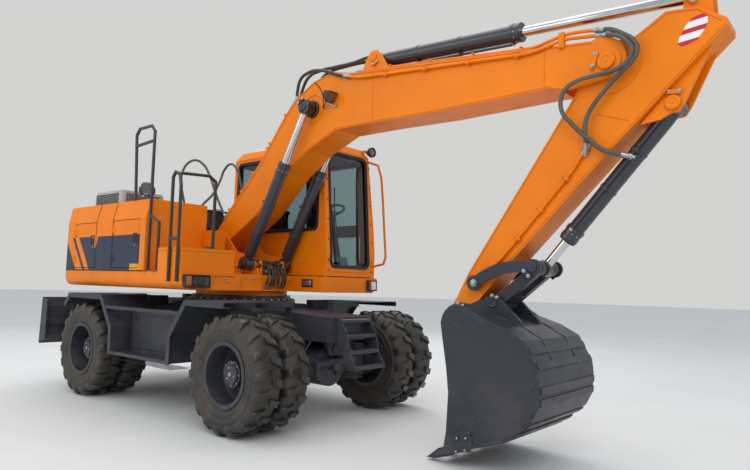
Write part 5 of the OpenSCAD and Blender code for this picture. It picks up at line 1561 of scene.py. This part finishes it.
    def pivot_loops(self, radius):
        """Two thick hoses that loop past the arm's pivot."""
        first = [(4262, -165, 3217), (4330, -190, 3196), (4400, -215, 3160), (4462, -225, 3100),
                 (4492, -228, 3035), (4474, -228, 2979), (4413, -228, 2929), (4262, -228, 2905),
                 (4104, -226, 2890), (4012, -224, 2845), (3976, -222, 2775), (3987, -220, 2671),
                 (4044, -214, 2591), (4125, -206, 2499), (4184, -200, 2442), (4271, -180, 2362),
                 (4346, -150, 2334), (4425, -120, 2312)]
        second = [(4244, -167, 3262), (4330, -188, 3236), (4420, -200, 3180), (4500, -212, 3106),
                  (4524, -214, 3030), (4486, -214, 2960), (4409, -212, 2895), (4315, -210, 2805),
                  (4219, -206, 2700), (4160, -202, 2600), (4150, -196, 2510), (4150, -184, 2440),
                  (4140, -168, 2385)]
        for name, points in (("pivot_hose_outer", first), ("pivot_hose_inner", second)):
            piece = Piece("dusty", "steel")
            piece.hose(points, radius)
            obj = piece.done(name, None)
            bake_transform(obj)


@piece_operator
class EXCAVATOR_OT_arm(bpy.types.Operator):
    """Pipe, sticker, welds and pin caps of the arm"""
    bl_idname = "excavator.arm"
    bl_label = "Arm"

    def execute(self, context):
        line = context.scene.excavator_sizes.line * 1000
        piece = Piece("orange", "steel", "stripe")
        run = [(4140, -160, 2385), (4111, -162, 2350), (4040, -158, 2240), (3560, -158, 1700),
               (3430, -158, 1560), (3380, -150, 1530)]
        points = [at(*p) for p in run]
        piece.add(pipe(points, line, corner=80))
        piece.add(fitting(points[0], points[0] - points[1], line), "steel")
        along = Vector((-0.66, 0, -0.75))
        for x, z in ((3990, 2184), (3790, 1959), (3600, 1745)):
            piece.add(clamp((x, -157, z), along, (0, -1, 0), line))
        piece.add(block((3345, -152, 1500), (3400, -138, 1560), 5))
        # Reflective sticker on the head, on both sides
        leaf = [(4774, 3072), (4817, 3155), (4860, 3200), (4923, 3214), (4951, 3193), (4954, 3147),
                (4922, 3086), (4889, 3044), (4836, 3024), (4794, 3016), (4769, 3035)]
        piece.add(plate(leaf, -142.5, -140, 0.8, 1), "stripe", both=True)
        # Rings and beads round the pivot and along the plate edges
        for y in (-142, 142):
            x, z = ARM_PIVOT
            piece.add(bead(arc(x, y, z, 236, [math.radians(a) for a in range(-100, 36, 8)]), 4))
            upper = [(4061, 2826), (3150, 1474), (3100, 1380)]
            lower = [(3290, 1293), (3422, 1443), (3580, 1610), (4251, 2304), (5065, 3104)]
            head = [(4520, 3180), (4690, 3290), (4895, 3271), (5040, 3155)]
            for outline, shift in ((upper, 16), (lower, 16), (head, -16)):
                piece.add(edge_bead(outline, shift, y, 4))
            piece.add(bead([(4222, y, 2640), (4440, y, 2560)], 3))
            x, z = SIDE_LINK_PIN
            piece.add(bead(arc(x, y, z, 66, [math.tau * k / 20 for k in range(21)]), 3))
        for y in (-1, 1):
            out = (0, y, 0)
            for (x, z), depth, radius, keeper in ((CURL_FOOT, 103, 52, (0.1, 0, 1)),
                                                  (ARM_HEAD, 103, 44, (-0.6, 0, -0.8))):
                piece.cap((x, y * depth, z), out, radius, keeper)
            x, z = SIDE_LINK_PIN
            piece.add(nut((x, y * 205, z), out, 22, 12), "steel")
        piece.done("arm_fittings", "arm")
        return {"FINISHED"}


# Cylinders


@piece_operator
class EXCAVATOR_OT_cylinders(bpy.types.Operator):
    """Heads, bands, pipes and ports of the hydraulic cylinders"""
    bl_idname = "excavator.cylinders"
    bl_label = "Cylinders"

    def execute(self, context):
        # Columns: name, body, foot, head, y, radius, length, which side its pipe is on, reach of the wiper
        rows = (("boom_cylinder_trim", "boom_barrel", LIFT_FOOT, LIFT_HEAD, (-272, 272), 58, 1173, 1, 26),
                ("arm_cylinder_trim", "arm_barrel", ARM_FOOT, ARM_HEAD, (0,), 72, 1530, -1, 0),
                ("bucket_cylinder_trim", "bucket_barrel", CURL_FOOT, CURL_HEAD, (0,), 62, 1190, 1, 26))
        for name, body, foot, head, sides, r, length, hand, past in rows:
            piece = Piece("barrel", "steel", "hose")
            for y in sides:
                a, b = at(foot[0], y, foot[1]), at(head[0], y, head[1])
                along = (b - a).normalized()
                out = Vector((-along.z, 0, along.x)) * hand
                if name.startswith("bucket"):
                    out = Vector((0, -1, 0))
                piece.add(collar(a, b, length - 96, length - 60, r + 11, r - 2))
                piece.add(collar(a, b, length - 26, length + past * 0.4, r + 9, r - 2))
                if past:
                    piece.add(collar(a, b, length - 4, length + past, r + 4, r * 0.66), "hose")
                piece.add(ring_of(a + along * (length - 58) / 1000, along, r + 2, 10,
                                  lambda p, s: rod(p, p + along * 0.012, 8, 1.5, 8)), "steel")

                def beside(distance, reach):
                    """A point this far along the barrel and this far off its middle, in mm."""
                    return a + along * distance / 1000 + out * reach / 1000

                low, high = 150, length - 78
                stand = r + 20
                run = [beside(low, r - 4), beside(low, stand), beside(high, stand), beside(high, r - 4)]
                piece.add(pipe(run, 11, corner=34))
                for share in (0.25, 0.6):
                    middle = low + (high - low) * share
                    piece.add(collar(a, b, middle - 14, middle + 14, r + 4, r - 2))
                    piece.add(clamp(beside(middle, stand), along, out, 11), "barrel")
                for distance in (118, high):
                    piece.add(rod(beside(distance, r - 6), beside(distance, r + 22), 21, 3, 24))
                    piece.add(rod(beside(distance, r + 22), beside(distance, r + 30), 15, 2, 6), "steel")
            piece.done(name, body)
        self.rod_ends()
        return {"FINISHED"}

    def rod_ends(self):
        # Columns: piece, body, place, middles of the eyes, half width, radius
        for name, body, (x, z), sides, half, radius in (
                ("boom_rod_caps", "boom_rod", LIFT_HEAD, (-272, 272), 50, 74),
                ("bucket_rod_cap", "bucket_rod", CURL_HEAD, (0,), 44, 62)):
            piece = Piece("black", "steel")
            for y in sides:
                hand = -1 if y < 0 else 1
                piece.add(lathe([(40, half + 1), (radius - 4, half + 2), (radius + 3, half - 3),
                                 (radius + 3, -half + 3), (radius - 4, -half - 2), (40, -half - 1)],
                                (x, y, z), (0, hand, 0), 40))
                if y:
                    piece.add(lathe([(37, -66), (62, -64), (62, -50)], (x, y, z), (0, hand, 0), 32))
                    piece.cap((x, y + hand * half, z), (0, hand, 0), 50, (-0.5, 0, 0.85))
            piece.done(name, body)


# Bucket and links


@piece_operator
class EXCAVATOR_OT_bucket(bpy.types.Operator):
    """Weld beads, bolts and tooth pins of the bucket and its links"""
    bl_idname = "excavator.bucket"
    bl_label = "Bucket"

    def execute(self, context):
        piece = Piece("bucket", "steel")
        shell = [(3150, 1030), (3300, 1112), (3422, 1140), (3668, 1067), (3830, 985), (3942, 783),
                 (3953, 685), (3944, 534), (3890, 427), (3678, 250), (3160, 75)]
        for y in (-499, 499):
            piece.add(edge_bead(shell, -18, y, 5))
            piece.add(bead([(3469, y, 374), (3950, y, 734)], 3))
            piece.add(bead([(3206, y, 560), (3160, y, 960)], 4))
        for y in (-148, 148):
            piece.add(bead([(3300, y, 1116), (3422, y, 1146), (3650, y, 1078)], 6))
        for y in (-210, 210):
            piece.add(edge_bead(shell[1:6], 2, y, 4))
        for i in range(5):
            y = -440 + i * 220
            for s in (-1, 1):
                piece.add(rod((3185, y + s * 34, 98), (3185, y + s * 41, 98), 13, 2, 12), "steel")
            piece.add(bead([(3112, y - 38, 108), (3205, y - 38, 137), (3205, y + 38, 137),
                            (3112, y + 38, 108)], 4))
        for s in (-1, 1):
            for x, z in ((3304, 226), (3380, 239), (3299, 128), (3375, 150)):
                piece.add(rod((x, s * 523, z), (x, s * 528, z), 9, 1, 12), "steel")
            for (x, z), radius in ((LINK_PIN, 34), (BUCKET_PIN, 38)):
                piece.cap((x, s * 175, z), (0, s, 0), radius, (0.3, 0, 0.95))
        piece.done("bucket_fittings", "bucket")
        links = Piece("bucket", "steel")
        for s in (-1, 1):
            x, z = CURL_HEAD
            links.cap((x, s * 213, z), (0, s, 0), 40, (-0.7, 0, -0.7))
        links.done("link_fittings", "side_link")
        return {"FINISHED"}


# Undercarriage


@piece_operator
class EXCAVATOR_OT_undercarriage(bpy.types.Operator):
    """Slewing ring bolts, grip treads, hoses and bolts of the undercarriage"""
    bl_idname = "excavator.undercarriage"
    bl_label = "Undercarriage"

    def execute(self, context):
        piece = Piece("slate", "steel", "hose", "red_lens", "black")
        up = (0, 0, 1)
        piece.add(ring_of((0, 0, 1150), up, 590, 36, lambda p, s: nut(p, up, 13, 12)), "steel")
        # Grip strips on the steps, the ladder and the fenders
        for s in (-1, 1):
            for x in range(-560, 430, 70):
                piece.add(block((x, s * 945, 470), (x + 12, s * 1180, 476), 2))
        for x0, x1, z in ((560, 635, 576), (500, 572, 718), (450, 518, 863), (400, 458, 1008)):
            for y in range(-180, 181, 45):
                piece.add(block((AXLE_X + x0, y - 6, z - 3), (AXLE_X + x1, y + 6, z + 4), 2), "steel")
        # Bolts along the fenders' outriggers and the box doors
        for s in (-1, 1):
            piece.add(band(on_y(s * 1011), (-560, 600, 380, 960), 30, 0, 14, (0, s * 0.006, 0), 2))
            for x in (-480, 300):
                piece.add(block((x - 30, s * 1008, 900), (x + 30, s * 1022, 935), 4), "black")
            for x in (-1650, -950, 700, 1250):
                for k in (0, 45):
                    piece.add(nut((x + k, s * 1150, 1106), up, 9, 6), "steel")
        # Brake and steering hoses from the chassis down to the axles
        for x in (AXLE_X, -AXLE_X):
            for s in (-1, 1):
                piece.hose([(x + 40, s * 150, 900), (x + 110, s * 230, 860), (x + 90, s * 330, 700),
                            (x + 60, s * 380, 640)], 9, "hose")
        for s in (-1, 1):
            piece.add(pipe([(-1640, s * 90, 1000), (-1250, s * 90, 1060), (-760, s * 120, 1120)], 9,
                           corner=60), "black")
        piece.done("undercarriage_fittings", "undercarriage")
        self.blade()
        return {"FINISHED"}

    def blade(self):
        piece = Piece("slate", "steel", "black")
        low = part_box("blade")[0]
        x, z = low[0] * 1000 + SLEW_X, low[2] * 1000
        for y in range(-1140, 1141, 190):
            piece.add(nut((x + 12, y, z + 34), (-1, 0, 0.3), 11, 6), "steel")
        piece.done("blade_fittings", "blade")


@piece_operator
class EXCAVATOR_OT_manifold(bpy.types.Operator):
    """Valve block, hoses and fittings in front of the boom's foot, and feet of the handrails"""
    bl_idname = "excavator.manifold"
    bl_label = "Manifold and rails"

    def execute(self, context):
        piece = Piece("orange", "hose", "steel", "black", "cast", "plastic")
        piece.add(block((380, -120, 1426), (500, 120, 1500), 8), "cast")
        piece.add(block((400, -90, 1498), (480, 90, 1540), 8), "orange")
        for k, y in enumerate((-100, -62, -24, 24, 62, 100)):
            high = 1480 + 12 * (k % 3)
            out = 60 + 16 * ((k * 2) % 3)
            piece.add(rod((494, y, high - 25), (520, y, high - 25), 17, 2, 6), "steel")
            piece.hose([(520, y, high - 25), (560 + out * 0.4, y * 1.05, high - 10),
                        (575 + out * 0.5, y * 1.2, 1400), (560 + out * 0.3, y * 1.35, 1320),
                        (548, y * 1.4, 1285)], 13, "hose")
        for k, y in enumerate((-150, -140, 140, 150)):
            side = -1 if y < 0 else 1
            piece.hose([(470, side * (60 + 30 * (k % 2)), 1540), (470, side * 130, 1572 + 5 * k),
                        (430, side * 197, 1586 + 5 * k), (330, side * 197, 1570), (270, side * 197, 1450)],
                        11, "hose")
        # Short hoses and couplings between the valve cover and the boom's foot
        for k, (y, z) in enumerate(((-430, 2010), (-380, 1960), (-320, 2030), (-270, 1940))):
            piece.hose([(-440, y, z), (-380, y - 8, z + 34), (-310, y * 0.86, z - 10 - 14 * (k % 3)),
                        (-290, y * 0.8, z - 190), (-300, y * 0.8, 1500)], 13, "hose")
        # Swivel tee, and hoses that cross below the boom
        piece.add(rod((470, -200, 1470), (470, 200, 1470), 24, 4, 24), "cast")
        for k, (y, far) in enumerate(((-190, -40), (-150, 60), (60, -130), (110, 20), (170, 90), (-70, 150))):
            high = 1545 + 12 * (k % 3)
            piece.hose([(470, y, 1495), (515 + 14 * (k % 2), y, 1530), (500, (y + far) / 2, high),
                        (430, far, high + 6), (360, far, 1530), (300, far * 0.9, 1450)], 12, "hose")
        # Upright plates and a bright pipe beside the far cylinder
        for y in (-165, 150):
            piece.add(plate([(470, 1424), (532, 1424), (532, 1560), (505, 1590), (470, 1570)], y, y + 14,
                            3), "orange")
        piece.add(pipe([(505, 197, 1430), (505, 197, 1520), (560, 197, 1560), (575, 197, 1570)], 8,
                       corner=40), "steel")
        piece.add(pipe([(-420, -150, 1740), (-420, -150, 1900), (-440, -210, 1960)], 14, corner=50), "hose")
        # Cover behind the boom's foot, with its folded edge and handle
        piece.add(slab(window_line(-762, -205, -482, 335, 40), 1426, 2186, 14), "plastic")
        piece.add(slab(window_line(-766, -212, -476, 341, 44), 2176, 2204, 8), "plastic")
        piece.add(block((-774, -458, 2100), (-752, -205, 2202), 5), "plastic")
        piece.add(pipe([(-620, 10, 2202), (-620, 10, 2232), (-620, 130, 2232), (-620, 130, 2202)], 7,
                       corner=16), "black")
        x, z = LIFT_FOOT
        for y in (-1, 1):
            piece.cap((x, y * 331, z), (0, y, 0), 46, (-0.6, 0, -0.8), "black")
        # Feet of the rails
        for x, y, z in ((-60, -1178, 1426), (115, -1178, 1426), (430, -740, 1667)):
            piece.add(lathe([(0, 8), (24, 8), (44, 6), (46, 0)], (x, y, z), (0, 0, 1), 24), "black")
            for turn in (math.tau * k / 3 for k in range(3)):
                piece.add(nut((x + 34 * math.cos(turn), y + 34 * math.sin(turn), z + 6), (0, 0, 1), 6, 5),
                          "steel")
        piece.done("manifold", "upper")
        return {"FINISHED"}


# Panel, registration and run


class EXCAVATOR_PT_finish(bpy.types.Panel):
    """Lists the settings and the operators in the order of making"""
    bl_idname = "EXCAVATOR_PT_finish"
    bl_label = "Excavator"
    bl_space_type = "VIEW_3D"
    bl_region_type = "UI"
    bl_category = "Excavator"

    def draw(self, context):
        for group in (context.scene.excavator_colours, context.scene.excavator_sizes):
            box = self.layout.box()
            for name in group.bl_rna.properties.keys():
                if name not in ("rna_type", "name"):
                    box.prop(group, name)
        for cls in PIECES:
            self.layout.operator(cls.bl_idname)


CLASSES = [FinishColours, FinishSizes, *PIECES, EXCAVATOR_PT_finish]


def register():
    for cls in CLASSES:
        bpy.utils.register_class(cls)
    bpy.types.Scene.excavator_colours = PointerProperty(type=FinishColours)
    bpy.types.Scene.excavator_sizes = PointerProperty(type=FinishSizes)


def unregister():
    del bpy.types.Scene.excavator_sizes
    del bpy.types.Scene.excavator_colours
    for cls in reversed(CLASSES):
        bpy.utils.unregister_class(cls)


def main():
    register()
    bpy.ops.excavator.paint()
    for cls in PIECES:
        group, name = cls.bl_idname.split(".")
        if name != "paint":
            getattr(getattr(bpy.ops, group), name)()


if __name__ == "__main__":
    main()
